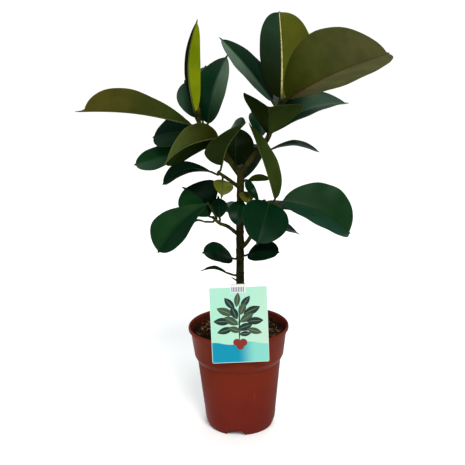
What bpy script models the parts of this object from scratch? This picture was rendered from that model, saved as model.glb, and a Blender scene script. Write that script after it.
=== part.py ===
"""A young rubber plant in a plastic nursery pot, with a folded plant label.

The origin is the centre of the pot's foot on the ground and +Z is up.  The front of the
plant, where the label hangs, faces -Y.  Blender works in metres; the dimensions below are
in millimetres and degrees, and MM turns them into metres.
"""
import math
from collections import namedtuple

import bmesh
import bpy
from mathutils import Matrix, Vector, noise

MM = 0.001
TOUCH_GAP = 0.3          # clearance between two pieces that touch
MERGE = 0.00005          # merge distance in metres

# The pot: a 17 cm nursery pot with a straight collar and a stepped shoulder
POT_SIDES = 42
POT_WALL = 1.8
RIM_RADIUS = 85.0
RIM_TOP = 180.4
LIP_HEIGHT = 6.5
LIP_TURN = 80.0          # the lip's top starts to round over at this angle
LIP_STEPS = 4
LIP_EDGE = 1.5           # the lip's lower edge is rounded off over this height
LIP_UNDERCUT = 1.0
RIM_FLAT = 0.5
COLLAR_TOP_RADIUS = 81.6
COLLAR_BOTTOM_RADIUS = 75.8
COLLAR_BOTTOM = 130.0
COLLAR_TUCK = 1.0        # the collar's lower edge turns in by this much
COLLAR_TUCK_HEIGHT = 3.0
CREASE_RADIUS = 70.4
CREASE = 119.0
CREASE_HALF = 1.1        # half the height of the crease under the shoulder
CREASE_DEPTH = 0.6
BODY_LOW_RADIUS = 61.4
BODY_LOW = 30.0
# The body turns in to its foot through these corners: (inward from BODY_LOW_RADIUS, height)
FOOT_CURVE = ((0.8, 18.0), (2.4, 8.0), (5.2, 2.2))
FOOT_RADIUS = 54.6
FOOT_FLAT = 3.4
FLOOR_CORNER = 6.0       # the floor's inner corner is eased over this width
FLOOR_CORNER_RISE = 2.0
FLOOR_CORNER_INSET = 2.2
FLOOR_UNDERSIDE = 11.6
FLOOR_THICKNESS = 1.8
NOTCH_ANGLES = (-99.5, -9.5, 80.5, 170.5)
NOTCH_FOOT_WIDTH = 32.0
NOTCH_TOP_WIDTH = 16.0
NOTCH_HEIGHT = 10.6
NOTCH_ROUND = 1.5        # the notch's corners are cut off by this much
NOTCH_REACH = 14.0       # the notch's cutter reaches this far in and out of the foot
DRAIN_HOLES = 8
DRAIN_RADIUS = 4.0
DRAIN_CIRCLE = 36.0
DRAIN_SIDES = 12

# The soil fills the pot to just under the collar's lip
SOIL_EDGE = 167.0
SOIL_CROWN = 3.0
SOIL_LUMP = 1.6          # the height of its small uneven lumps
SOIL_LUMP_SCALE = 70.0   # lumps to the metre
SOIL_RINGS = 5
SOIL_CALM = 2.0          # no lumps this close to the trunk
STEM_HOLE_BOTTOM = 118.0

# The label: one bent sheet, the card in front of the rim and its leg inside the pot
CARD_WIDTH = 92.0
CARD_BOTTOM = 147.0
CARD_TOP = 276.0
CARD_THICKNESS = 0.8
CARD_TILT = 1.0
LEG_WIDTH = 24.0
LEG_TOP_DEPTH = 79.6
LEG_FOOT = 140.0
LEG_FOOT_DEPTH = 69.5
LEG_POINT_WIDTH = 9.0
FOLD_STEPS = 6
FOLD_RISE = 0.5          # the fold starts this far above the card's top edge
LEG_OVERLAP = 3.0        # the card and the folded leg are one sheet; they meet here
LEG_POINT_LENGTH = 12.0

# The stems: points along each one from its root, and its radius at the root and at the tip
Stem = namedtuple("Stem", "points radius_root radius_tip")
STEMS = {
    "trunk": Stem([(0, 0, 118.5), (0, 0, 176), (4, 1, 240), (6, 0, 342), (8, 2, 400),
                   (9, 0, 447)], 7.6, 6.0),
    "right": Stem([(9, 0, 440), (32, -4, 472), (52, -6, 496), (66, -6, 532),
                   (76, -8, 562)], 5.0, 3.6),
    "left": Stem([(8, 0, 438), (-20, -8, 481), (-41, -12, 504), (-54, -14, 522),
                  (-55, -16, 544)], 5.0, 3.4),
    "upper_twig": Stem([(4, -3, 420), (-14, -14, 437), (-28, -22, 449)], 3.4, 2.6),
    "left_twig": Stem([(2, -4, 340), (-14, -14, 356), (-27, -22, 364),
                       (-38, -26, 376)], 3.4, 2.6),
    "right_twig": Stem([(10, -4, 318), (20, -18, 334), (40, -30, 372),
                        (58, -34, 402)], 3.8, 2.8),
}
STEM_SIDES = 10
STEM_STEP = 8.0          # spacing of the points along a stem
SCAR_SWELL = 0.09        # leaf scars ring the stems and swell them by this share
SCARS_START = 12.0       # above the soil
SCARS_END = 0.98         # no scar past this share of the stem
STUB_ROOTS = ((262, 185), (271, 150))   # height and heading of two dead leaf stalks
STUB_LENGTH = 11.0
STUB_RISE = 25.0
STUB_RADIUS = 1.6
STUB_TAPER = 0.6
BUD_LENGTH = 15.0
BUD_RADIUS = 2.7
BUD_SIDES = 8
BUD_SHAPE = ((0.0, 0.8), (0.3, 1.0), (0.65, 0.6), (1.0, 0.12))   # (along, width) as shares

# The leaves, stem by stem from the tip down.  at: how far up its stem the leaf grows.
# heading and rise: where the blade points, as a compass angle from +X and an angle up.
# roll: the blade's turn about its midrib.  fold: how far each half is folded up.
# bow and sway: the midrib's bend upward and sideways.  peak: where it is widest.
# blunt: 0.62 for a pointed outline, less for a rounder one.  drip: the thin tip's length.
# stalk, stalk_heading and stalk_lift: the leaf stalk, set off from the blade's own line.
Leaf = namedtuple("Leaf", "at heading rise length width roll fold bow sway peak blunt "
                  "drip stalk stalk_heading stalk_lift")


def leaf(at, heading, rise, length, width, roll=0, fold=14, bow=6, sway=0, peak=0.52,
         blunt=0.6, drip=6, stalk=12, stalk_heading=None, stalk_lift=12):
    """One leaf's dimensions; its stalk follows the blade's heading unless told not to."""
    if stalk_heading is None:
        stalk_heading = heading
    return Leaf(at, heading, rise, length, width, roll, fold, bow, sway, peak, blunt,
                drip, stalk, stalk_heading, stalk_lift)


LEAVES = {
    "right": [
        leaf(0.95, -48, 22, 216, 138, roll=-42, fold=35, bow=0, sway=8, blunt=0.52,
             drip=4, stalk=14, stalk_lift=10),
        leaf(0.97, -110, 86, 134, 98, fold=28, bow=8, blunt=0.38, drip=2, stalk=10,
             stalk_heading=-80, stalk_lift=-52),
        leaf(0.88, 160, 49, 132, 70, roll=-12, fold=12, bow=4, stalk=10, stalk_lift=0),
        leaf(0.52, 14, 17, 138, 92, roll=14, fold=22, bow=15, stalk=10, stalk_heading=40,
             stalk_lift=30),
        leaf(0.55, -92, 34, 104, 108, roll=-14, fold=30, peak=0.62, drip=3,
             stalk_lift=-20),
        leaf(0.32, 2, -5, 80, 28, roll=10, fold=10, bow=12, peak=0.66, blunt=0.45, drip=3,
             stalk=16, stalk_lift=20),
        leaf(0.46, 115, 45, 52, 32, blunt=0.5, stalk=8),
        leaf(0.78, 70, 22, 184, 76, roll=-10, stalk=14),
    ],
    "left": [
        leaf(0.97, -20, 86, 142, 52, roll=-85, fold=60, sway=14, peak=0.46, stalk=12,
             stalk_heading=245, stalk_lift=-56),
        leaf(0.62, 20, 71, 113, 66, roll=40, fold=28, bow=12, peak=0.48,
             stalk_heading=55, stalk_lift=-20),
        leaf(0.82, 118, 57, 67, 45, roll=-20, stalk=10, stalk_lift=-20),
        leaf(0.76, 206, 11, 188, 80, roll=36, fold=38, bow=9, peak=0.7, blunt=0.36,
             drip=14, stalk=14, stalk_lift=10),
        leaf(0.60, 160, -8, 74, 66, roll=-40, fold=10, blunt=0.5, drip=3, stalk=14),
        leaf(0.34, 180, -15, 86, 50, roll=-35, fold=8, bow=0, peak=0.6, blunt=0.5, drip=3,
             stalk=48, stalk_heading=174, stalk_lift=8),
        leaf(0.40, 226, -12, 120, 80, roll=58, fold=10, bow=12, peak=0.5, drip=10,
             stalk_heading=-60, stalk_lift=45),
        leaf(0.68, 88, 30, 150, 60, roll=-10, stalk=14),
        leaf(0.40, 128, -4, 100, 60),
    ],
    "upper_twig": [
        leaf(0.97, -60, 45, 110, 84, roll=30, fold=30, sway=5, drip=3, stalk=14,
             stalk_lift=10),
        leaf(0.84, 190, -12, 80, 34, roll=-30, fold=20, bow=16, sway=4, peak=0.66,
             blunt=0.42, drip=2, stalk=14, stalk_lift=34),
        leaf(0.70, -95, -40, 38, 34, roll=-20, stalk=8),
    ],
    "left_twig": [
        leaf(0.97, 160, 45, 66, 84, roll=-35, fold=8, sway=6, peak=0.6, stalk=10,
             stalk_heading=120, stalk_lift=-50),
        leaf(0.90, 210, -36, 114, 74, roll=-25, fold=20, sway=7, peak=0.7, blunt=0.5,
             drip=3, stalk=36, stalk_heading=236, stalk_lift=92),
        leaf(0.70, 95, 60, 38, 28, stalk=5),
        leaf(0.86, 188, -14, 26, 9, drip=4, stalk=14),
    ],
    "right_twig": [
        leaf(0.97, 180, 72, 130, 58, roll=25, fold=25, bow=0, sway=-6, peak=0.46,
             stalk=8, stalk_heading=5, stalk_lift=-20),
        leaf(0.94, -3, -27, 122, 106, roll=35, fold=30, bow=7, sway=-6, peak=0.57,
             blunt=0.36, drip=3, stalk=18, stalk_lift=46),
        leaf(0.97, -112, -42, 80, 78, roll=-30, fold=15, peak=0.46, blunt=0.44, drip=5,
             stalk=7, stalk_lift=50),
        leaf(0.80, 25, -12, 52, 30, fold=20, stalk=8),
        leaf(0.88, 125, -10, 26, 20, drip=4, stalk=6),
        leaf(0.50, 24, -20, 74, 36, roll=20, stalk_lift=50),
    ],
    "trunk": [
        leaf(0.98, 76, 74, 66, 66, blunt=0.5, stalk_heading=120, stalk_lift=-30),
        leaf(0.97, 30, 52, 50, 46, roll=12, bow=0, sway=-3, peak=0.58, stalk=5,
             stalk_lift=-20),
        leaf(0.92, -8, 2, 42, 24, roll=-40, fold=8, bow=4, stalk=5, stalk_lift=0),
        leaf(0.88, 78, 22, 112, 52),
        leaf(0.93, -40, -50, 46, 20, roll=10, fold=25, sway=10, peak=0.45, stalk=5,
             stalk_lift=60),
        leaf(0.85, -70, -45, 30, 26, stalk=6, stalk_lift=50),
        leaf(0.78, -98, -50, 46, 32, blunt=0.5, drip=3, stalk=8, stalk_lift=70),
        leaf(0.68, 165, 12, 30, 26, stalk=6, stalk_lift=0),
        leaf(0.70, 118, -12, 110, 56),
        leaf(0.64, 44, 2, 120, 60, stalk=14),
        leaf(0.52, -28, 10, 58, 44, roll=34, fold=8, blunt=0.42, drip=2, stalk=8,
             stalk_lift=10),
        leaf(0.51, 208, 18, 58, 46, roll=-34, fold=8, blunt=0.45, drip=3, stalk=8,
             stalk_lift=0),
        leaf(0.455, 175, 4, 46, 28, roll=26, stalk=14),
    ],
}
BLADE_THICKNESS = 0.9
BLADE_ACROSS = 4
BLADE_ALONG = 8
SMALL_LEAF = 82.0        # a leaf shorter than this gets fewer faces
SMALL_ALONG = 6
STALK_RADIUS = 1.8
STALK_SIDES = 6
STALK_START = 2.4        # the stalk leaves its stem squarely for this length
MIDRIB_SHARE = 0.22      # and runs into the blade for this share of its length
MIDRIB_RADIUS = 0.9
BASE_HALF_WIDTH = 1.6    # the blade starts and ends at least this wide, from its midrib
TIP_HALF_WIDTH = 2.0
TIP_ROUND = 0.4
KEEL_ROUND = 0.1         # the fold along the midrib is rounded over this share of a half
EDGE_CURL = -0.05        # the halves bend back down a little towards their edges
SHARP_POT = 40.0         # edges sharper than this are shaded sharp
SHARP_LEAF = 60.0


# Curves and directions

def on_curve(points, share):
    """The point at a share of the way along a smooth curve through the points."""
    knots = [Vector(p) for p in points]
    spans = len(knots) - 1
    place = min(max(share, 0.0), 1.0) * spans
    i = min(int(place), spans - 1)
    f = place - i
    p1, p2 = knots[i], knots[i + 1]
    p0 = knots[i - 1] if i > 0 else 2 * p1 - p2
    p3 = knots[i + 2] if i + 2 <= spans else 2 * p2 - p1
    cubic = (3 * p1 - p0 - 3 * p2 + p3) * f ** 3
    square = (2 * p0 - 5 * p1 + 4 * p2 - p3) * f ** 2
    return 0.5 * (2 * p1 + (p2 - p0) * f + square + cubic)


def along_stem(stem, share):
    """The direction of a stem at a share of the way along it."""
    ahead = on_curve(stem.points, min(share + 0.01, 1.0))
    behind = on_curve(stem.points, max(share - 0.01, 0.0))
    return (ahead - behind).normalized()


def stem_radius(stem, share):
    return stem.radius_root + (stem.radius_tip - stem.radius_root) * share


def pointing(heading, rise):
    """The unit vector at a compass heading and an angle above the horizontal."""
    h, r = math.radians(heading), math.radians(rise)
    return Vector((math.cos(r) * math.cos(h), math.cos(r) * math.sin(h), math.sin(r)))


# Materials, objects and mesh tools

def material(name, colour, roughness, metallic=0.0):
    made = bpy.data.materials.new(name)
    made.use_nodes = True
    shader = made.node_tree.nodes["Principled BSDF"]
    shader.inputs["Base Color"].default_value = (*colour, 1.0)
    shader.inputs["Roughness"].default_value = roughness
    shader.inputs["Metallic"].default_value = metallic
    made.diffuse_color = (*colour, 1.0)
    return made


def place(name, mesh, finish, collection, smooth_below=SHARP_POT):
    """Put a mesh in the scene as one named, smooth-shaded object."""
    thing = bpy.data.objects.new(name, mesh)
    mesh.materials.clear()
    mesh.materials.append(finish)
    mesh.shade_smooth()
    mesh.set_sharp_from_angle(angle=math.radians(smooth_below))
    collection.objects.link(thing)
    return thing


def scratch_object(mesh, collection):
    thing = bpy.data.objects.new("scratch", mesh)
    collection.objects.link(thing)
    return thing


def finished_mesh(thing):
    """The mesh of an object with its modifiers applied; the object is removed."""
    bpy.context.view_layer.update()
    graph = bpy.context.evaluated_depsgraph_get()
    mesh = bpy.data.meshes.new_from_object(thing.evaluated_get(graph))
    mesh.transform(thing.matrix_world)
    bpy.data.objects.remove(thing)
    return mesh


def weld(mesh):
    bm = bmesh.new()
    bm.from_mesh(mesh)
    bmesh.ops.remove_doubles(bm, verts=bm.verts, dist=MERGE)
    bm.to_mesh(mesh)
    bm.free()
    return mesh


def tube_mesh(points, radii, sides, collection):
    """A capped tube through points in millimetres, with a radius at each."""
    curve = bpy.data.curves.new("tube", "CURVE")
    curve.dimensions = "3D"
    curve.bevel_depth = 1.0
    curve.bevel_resolution = sides // 2 - 2
    curve.use_fill_caps = True
    spline = curve.splines.new("POLY")
    spline.points.add(len(points) - 1)
    for knot, point, radius in zip(spline.points, points, radii):
        knot.co = (*(Vector(point) * MM), 1.0)
        knot.radius = radius * MM
    tube = bpy.data.objects.new("tube", curve)
    collection.objects.link(tube)
    return weld(finished_mesh(tube))


def turned_mesh(profile, sides, collection):
    """Turn a profile of (radius, height) points, in millimetres, about the Z axis."""
    bm = bmesh.new()
    verts = [bm.verts.new((r * MM, 0.0, z * MM)) for r, z in profile]
    for a, b in zip(verts, verts[1:]):
        bm.edges.new((a, b))
    mesh = bpy.data.meshes.new("profile")
    bm.to_mesh(mesh)
    bm.free()
    thing = scratch_object(mesh, collection)
    screw = thing.modifiers.new("Turn", "SCREW")
    screw.steps = sides
    screw.render_steps = sides
    screw.use_merge_vertices = True
    screw.merge_threshold = MERGE
    return weld(finished_mesh(thing))


def combine(mesh, tools, operation, collection):
    """Join tool meshes to a mesh, or cut them from it, with exact Booleans."""
    body = scratch_object(mesh, collection)
    cutters = []
    for tool in tools:
        cutter = scratch_object(tool, collection)
        cutter.hide_render = True
        cutter.display_type = "WIRE"
        boolean = body.modifiers.new("Combine", "BOOLEAN")
        boolean.operation = operation
        boolean.solver = "EXACT"
        boolean.object = cutter
        cutters.append(cutter)
    made = finished_mesh(body)
    for cutter in cutters:
        bpy.data.objects.remove(cutter)
    return made


# The pot

def arc(centre, radius, start, end, steps):
    """Points on an arc, from a start angle to an end angle in degrees."""
    angles = [math.radians(start + (end - start) * i / steps) for i in range(steps + 1)]
    return [(centre[0] + radius * math.cos(a), centre[1] + radius * math.sin(a))
            for a in angles]


def pot_outside():
    """The pot's outer side from the rim down to the foot."""
    lip = RIM_RADIUS - COLLAR_TOP_RADIUS
    lip_arc = arc((RIM_RADIUS - lip, RIM_TOP - lip), lip, LIP_TURN, 0, LIP_STEPS)
    lip_bottom = RIM_TOP - LIP_HEIGHT
    under_lip = [(RIM_RADIUS, lip_bottom + LIP_EDGE),
                 (RIM_RADIUS - LIP_UNDERCUT, lip_bottom),
                 (COLLAR_TOP_RADIUS, lip_bottom - LIP_UNDERCUT)]
    collar = [(COLLAR_BOTTOM_RADIUS, COLLAR_BOTTOM),
              (COLLAR_BOTTOM_RADIUS - COLLAR_TUCK, COLLAR_BOTTOM - COLLAR_TUCK_HEIGHT),
              (CREASE_RADIUS + CREASE_DEPTH, CREASE + CREASE_HALF),
              (CREASE_RADIUS, CREASE - CREASE_HALF)]
    body = [(BODY_LOW_RADIUS, BODY_LOW)]
    body += [(BODY_LOW_RADIUS - inward, height) for inward, height in FOOT_CURVE]
    return lip_arc + under_lip + collar + body + [(FOOT_RADIUS, 0.0)]


def pot_inside():
    """The pot's inner side from the middle of its floor up to the rim."""
    floor = FLOOR_UNDERSIDE + FLOOR_THICKNESS
    body = BODY_LOW_RADIUS - POT_WALL
    collar = COLLAR_BOTTOM_RADIUS - POT_WALL
    return [(0.0, floor), (body - FLOOR_CORNER, floor),
            (body - FLOOR_CORNER_INSET, floor + FLOOR_CORNER_RISE),
            (body, BODY_LOW),
            (CREASE_RADIUS - POT_WALL, CREASE),
            (collar - CREASE_DEPTH, COLLAR_BOTTOM - COLLAR_TUCK_HEIGHT / 2),
            (collar, COLLAR_BOTTOM + COLLAR_TUCK),
            (COLLAR_TOP_RADIUS - POT_WALL, RIM_TOP - LIP_UNDERCUT)]


def notch_cutter(angle):
    """A tapered block with rounded shoulders that cuts one air notch in the foot."""
    half_foot, half_top = NOTCH_FOOT_WIDTH / 2, NOTCH_TOP_WIDTH / 2
    outline = [(-half_foot - NOTCH_ROUND, -NOTCH_ROUND), (-half_foot + NOTCH_ROUND, NOTCH_ROUND),
               (-half_top - NOTCH_ROUND, NOTCH_HEIGHT - NOTCH_ROUND),
               (-half_top + NOTCH_ROUND / 2, NOTCH_HEIGHT)]
    outline += [(-x, z) for x, z in reversed(outline)]
    near, far = FOOT_RADIUS - NOTCH_REACH, FOOT_RADIUS + NOTCH_REACH
    bm = bmesh.new()
    face = bm.faces.new([bm.verts.new((near * MM, x * MM, z * MM)) for x, z in outline])
    grown = bmesh.ops.extrude_face_region(bm, geom=[face])
    moved = [v for v in grown["geom"] if isinstance(v, bmesh.types.BMVert)]
    bmesh.ops.translate(bm, verts=moved, vec=((far - near) * MM, 0.0, 0.0))
    bmesh.ops.recalc_face_normals(bm, faces=bm.faces)
    bmesh.ops.rotate(bm, verts=bm.verts, matrix=Matrix.Rotation(math.radians(angle), 3, "Z"))
    mesh = bpy.data.meshes.new("notch")
    bm.to_mesh(mesh)
    bm.free()
    return mesh


def drain_cutter(angle):
    bm = bmesh.new()
    bmesh.ops.create_cone(bm, cap_ends=True, segments=DRAIN_SIDES, radius1=DRAIN_RADIUS * MM,
                          radius2=DRAIN_RADIUS * MM, depth=6 * FLOOR_THICKNESS * MM)
    turn = math.radians(angle)
    centre = (DRAIN_CIRCLE * math.cos(turn) * MM, DRAIN_CIRCLE * math.sin(turn) * MM,
              (FLOOR_UNDERSIDE + FLOOR_THICKNESS / 2) * MM)
    bmesh.ops.translate(bm, verts=bm.verts, vec=centre)
    mesh = bpy.data.meshes.new("drain")
    bm.to_mesh(mesh)
    bm.free()
    return mesh


def make_pot(parts, cutters):
    rim_inside = [(COLLAR_TOP_RADIUS - POT_WALL + RIM_FLAT, RIM_TOP)]
    foot_inside = [(FOOT_RADIUS - FOOT_FLAT, 0.0),
                   (FOOT_RADIUS - FOOT_FLAT, FLOOR_UNDERSIDE), (0.0, FLOOR_UNDERSIDE)]
    profile = pot_inside() + rim_inside + pot_outside() + foot_inside
    shell = turned_mesh(profile, POT_SIDES, cutters)
    holes = [notch_cutter(angle) for angle in NOTCH_ANGLES]
    holes += [drain_cutter(360.0 * (i + 0.5) / DRAIN_HOLES) for i in range(DRAIN_HOLES)]
    shell = combine(shell, holes, "DIFFERENCE", cutters)
    return place("pot", shell, material("Terracotta plastic", (0.15, 0.018, 0.009), 0.42),
                 parts)


# The soil

def soil_profile():
    """Up the stem's hole, out across the crowned surface and down inside the pot wall."""
    inside = [(r - TOUCH_GAP, z) for r, z in pot_inside()[1:]]
    inside[0] = (inside[0][0], inside[0][1] + TOUCH_GAP)
    low, high = inside[-2], inside[-1]
    share = (SOIL_EDGE - low[1]) / (high[1] - low[1])
    edge = low[0] + (high[0] - low[0]) * share
    hole = STEMS["trunk"].radius_root + TOUCH_GAP
    top = []
    for i in range(SOIL_RINGS + 1):
        out = i / SOIL_RINGS
        top.append((hole + (edge - hole) * out, SOIL_EDGE + SOIL_CROWN * (1 - out ** 2)))
    floor = FLOOR_UNDERSIDE + FLOOR_THICKNESS + TOUCH_GAP
    return ([(0.0, STEM_HOLE_BOTTOM), (hole, STEM_HOLE_BOTTOM)] + top
            + list(reversed(inside[:-1])) + [(0.0, floor)])


def lump(mesh):
    """Raise the soil's surface in small uneven lumps, away from the stem and the wall."""
    hole = (STEMS["trunk"].radius_root + SOIL_CALM) * MM
    edge = (COLLAR_BOTTOM_RADIUS - POT_WALL) * MM
    for vert in mesh.vertices:
        out = math.hypot(vert.co.x, vert.co.y)
        if vert.co.z > (SOIL_EDGE - TOUCH_GAP) * MM and hole < out < edge:
            uneven = noise.noise(Vector((vert.co.x, vert.co.y, 0.0)) * SOIL_LUMP_SCALE)
            vert.co.z += SOIL_LUMP * MM * uneven


def label_line(height):
    """The depth of the label's leg at a height, in millimetres."""
    share = (CARD_TOP - height) / (CARD_TOP - LEG_FOOT)
    return -(LEG_TOP_DEPTH + (LEG_FOOT_DEPTH - LEG_TOP_DEPTH) * share)


def slot_cutter():
    """A thin slanted block for the slot that the label's leg is pushed into."""
    half = LEG_WIDTH / 2 + TOUCH_GAP
    thick = CARD_THICKNESS / 2 + TOUCH_GAP
    top, bottom = RIM_TOP, LEG_FOOT - TOUCH_GAP
    bm = bmesh.new()
    bmesh.ops.create_cube(bm, size=2.0)
    for vert in bm.verts:
        height = top if vert.co.z > 0 else bottom
        depth = label_line(height) + thick * vert.co.y
        vert.co = Vector((half * vert.co.x, depth, height)) * MM
    mesh = bpy.data.meshes.new("slot")
    bm.to_mesh(mesh)
    bm.free()
    return mesh


def make_soil(parts, cutters):
    mesh = turned_mesh(soil_profile(), POT_SIDES, cutters)
    lump(mesh)
    mesh = combine(mesh, [slot_cutter()], "DIFFERENCE", cutters)
    return place("soil", mesh, material("Potting soil", (0.021, 0.013, 0.008), 0.95), parts)


# The label

def label_path():
    """The sheet's centre line, as (depth, height, half width), from card foot to leg point."""
    card_depth = -(RIM_RADIUS + TOUCH_GAP + CARD_THICKNESS / 2)
    fold = (abs(card_depth) - LEG_TOP_DEPTH) / 2
    middle = card_depth + fold
    half_card, half_leg = CARD_WIDTH / 2, LEG_WIDTH / 2
    card = [(card_depth, CARD_BOTTOM, half_card), (card_depth, CARD_TOP, half_card)]
    over = []
    for i in range(1, FOLD_STEPS):
        turn = math.pi * i / FOLD_STEPS
        over.append((middle - fold * math.cos(turn), CARD_TOP + FOLD_RISE + fold * math.sin(turn),
                     half_leg))
    leg = [(label_line(CARD_TOP), CARD_TOP, half_leg),
           (label_line(LEG_FOOT + LEG_POINT_LENGTH), LEG_FOOT + LEG_POINT_LENGTH, half_leg),
           (label_line(LEG_FOOT), LEG_FOOT, LEG_POINT_WIDTH / 2)]
    return card, [(card_depth, CARD_TOP - LEG_OVERLAP, half_leg)] + over + leg


def strip_mesh(rows, collection):
    """A sheet of even thickness along rows of (depth, height, half width)."""
    bm = bmesh.new()
    pairs = []
    for depth, height, half in rows:
        pairs.append([bm.verts.new(Vector((side * half, depth, height)) * MM)
                      for side in (-1, 1)])
    for (a, b), (c, d) in zip(pairs, pairs[1:]):
        bm.faces.new((a, b, d, c))
    mesh = bpy.data.meshes.new("sheet")
    bm.to_mesh(mesh)
    bm.free()
    thing = scratch_object(mesh, collection)
    solid = thing.modifiers.new("Thickness", "SOLIDIFY")
    solid.thickness = CARD_THICKNESS * MM
    solid.offset = 0.0
    solid.use_even_offset = True
    return weld(finished_mesh(thing))


def make_label(parts, cutters):
    card, leg = label_path()
    card_mesh = strip_mesh(card, cutters)
    tilt = Matrix.Rotation(math.radians(-CARD_TILT), 4, "Y")
    centre = Matrix.Translation(Vector((0.0, 0.0, CARD_TOP)) * MM)
    card_mesh.transform(centre @ tilt @ centre.inverted())
    mesh = combine(card_mesh, [strip_mesh(leg, cutters)], "UNION", cutters)
    return place("label", mesh, material("Printed card", (0.5, 0.86, 0.68), 0.45), parts)


# The stem

def stem_tube(name, collection):
    """One stem as a tapering tube, ringed by leaf scars where it is trunk."""
    stem = STEMS[name]
    knots = [Vector(p) for p in stem.points]
    length = sum((b - a).length for a, b in zip(knots, knots[1:]))
    steps = round(length / STEM_STEP)
    points, radii = [], []
    for i in range(steps + 1):
        share = i / steps
        point = on_curve(stem.points, share)
        ringed = point.z > SOIL_EDGE + SCARS_START and i % 2 == 0
        swell = SCAR_SWELL if ringed and 1 - SCARS_END < share < SCARS_END else 0.0
        points.append(point)
        radii.append(stem_radius(stem, share) * (1 + swell))
    return tube_mesh(points, radii, STEM_SIDES, collection)


def stub_tube(height, heading, collection):
    """The dried stump of an old leaf stalk, low on the trunk."""
    trunk = STEMS["trunk"]
    base, top = trunk.points[1], trunk.points[3]
    share = (1 + 2 * (height - base[2]) / (top[2] - base[2])) / (len(trunk.points) - 1)
    root = on_curve(trunk.points, share)
    out = pointing(heading, STUB_RISE)
    points = [root, root + out * (trunk.radius_root + STUB_LENGTH)]
    radii = [STUB_RADIUS, STUB_RADIUS * STUB_TAPER]
    return tube_mesh(points, radii, STALK_SIDES, collection)


def make_stem(parts, cutters):
    trunk = stem_tube("trunk", cutters)
    others = [stem_tube(name, cutters) for name in STEMS if name != "trunk"]
    others += [stub_tube(height, heading, cutters) for height, heading in STUB_ROOTS]
    mesh = combine(trunk, others, "UNION", cutters)
    return place("stem", mesh, material("Bark", (0.04, 0.027, 0.012), 0.8), parts)


def make_bud(name, parts, cutters):
    """The pointed bud at a branch's tip, with the next leaf still rolled up in it."""
    stem = STEMS[name]
    way = along_stem(stem, 1.0)
    start = on_curve(stem.points, 1.0) + way * TOUCH_GAP
    points = [start + way * BUD_LENGTH * share for share, _ in BUD_SHAPE]
    mesh = tube_mesh(points, [BUD_RADIUS * width for _, width in BUD_SHAPE], BUD_SIDES, cutters)
    return place("bud_" + name, mesh, material("Bud", (0.30, 0.05, 0.02), 0.5), parts)


# The leaves

LeafFrame = namedtuple("LeafFrame", "root out base along up side")


def leaf_frame(stem, blade):
    """Where a leaf's stalk starts, where its blade starts, and the blade's own axes."""
    grows = along_stem(stem, blade.at)
    way = pointing(blade.stalk_heading, blade.rise + blade.stalk_lift)
    out = (way - grows * way.dot(grows)).normalized()
    reach = stem_radius(stem, blade.at) * (1 + SCAR_SWELL) + TOUCH_GAP
    root = on_curve(stem.points, blade.at) + out * reach
    along = pointing(blade.heading, blade.rise)
    level = (Vector((0, 0, 1)) - along * along.z).normalized()
    across = along.cross(level)
    roll = math.radians(blade.roll)
    up = level * math.cos(roll) + across * math.sin(roll)
    side = across * math.cos(roll) - level * math.sin(roll)
    return LeafFrame(root, out, root + way * blade.stalk, along, up, side)


def half_width(blade, share):
    """Half the blade's width at a share of its length: an oval that ends in a drip tip."""
    body_end = 1.0 - blade.drip / blade.length
    skew = math.log(0.5) / math.log(blade.peak)
    along = min(share / body_end, 1.0)
    oval = max(math.sin(math.pi * along ** skew), 0.0) ** blade.blunt
    body = blade.width / 2 * oval
    if share < 0.5:
        return max(body, BASE_HALF_WIDTH)
    drip = min((1.0 - share) * blade.length / blade.drip, 1.0)
    return max(body, TIP_HALF_WIDTH * drip + TIP_ROUND)


def blade_point(blade, frame, across, share):
    """A point of the blade: across runs from -1 to 1 and share from stalk to tip."""
    half = half_width(blade, share)
    fold = math.radians(blade.fold)
    keel = math.hypot(across, KEEL_ROUND) - KEEL_ROUND
    keel /= math.hypot(1.0, KEEL_ROUND) - KEEL_ROUND
    rise = half * (keel * math.sin(fold) + EDGE_CURL * across ** 2)
    bend = math.sin(math.pi * share)
    point = frame.base + frame.along * (blade.length * share)
    point += frame.side * (across * half * math.cos(fold) + blade.sway * bend)
    return point + frame.up * (rise + blade.bow * bend)


def blade_mesh(blade, frame, collection):
    """The blade as a thin folded sheet, split into triangles alike on both faces."""
    steps = BLADE_ALONG if blade.length > SMALL_LEAF else SMALL_ALONG
    body_end = 1.0 - blade.drip / blade.length
    bm = bmesh.new()
    bmesh.ops.create_grid(bm, x_segments=BLADE_ACROSS, y_segments=steps, size=1.0)
    for vert in bm.verts:
        row = (vert.co.y + 1.0) / 2.0 * steps
        share = body_end * (1 - math.cos(math.pi * row / (steps - 1))) / 2
        if row > steps - 0.5:
            share = 1.0
        vert.co = blade_point(blade, frame, vert.co.x, share) * MM
    bmesh.ops.triangulate(bm, faces=bm.faces)
    mesh = bpy.data.meshes.new("blade")
    bm.to_mesh(mesh)
    bm.free()
    thing = scratch_object(mesh, collection)
    solid = thing.modifiers.new("Thickness", "SOLIDIFY")
    solid.thickness = BLADE_THICKNESS * MM
    solid.offset = 0.0
    return weld(finished_mesh(thing))


def stalk_mesh(blade, frame, collection):
    """The leaf stalk, which runs on into the blade as the start of its midrib."""
    start = frame.root + frame.out * STALK_START
    rib_end = blade_point(blade, frame, 0.0, MIDRIB_SHARE)
    rib_middle = blade_point(blade, frame, 0.0, MIDRIB_SHARE * 0.4)
    points = [frame.root, start, frame.base, rib_middle, rib_end]
    radii = [STALK_RADIUS] * 3 + [MIDRIB_RADIUS * 1.5, MIDRIB_RADIUS]
    return tube_mesh(points, radii, STALK_SIDES, collection)


def make_leaf(name, stem, blade, finish, parts, cutters):
    frame = leaf_frame(stem, blade)
    mesh = combine(blade_mesh(blade, frame, cutters), [stalk_mesh(blade, frame, cutters)],
                   "UNION", cutters)
    return place(name, mesh, finish, parts, smooth_below=SHARP_LEAF)


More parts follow.
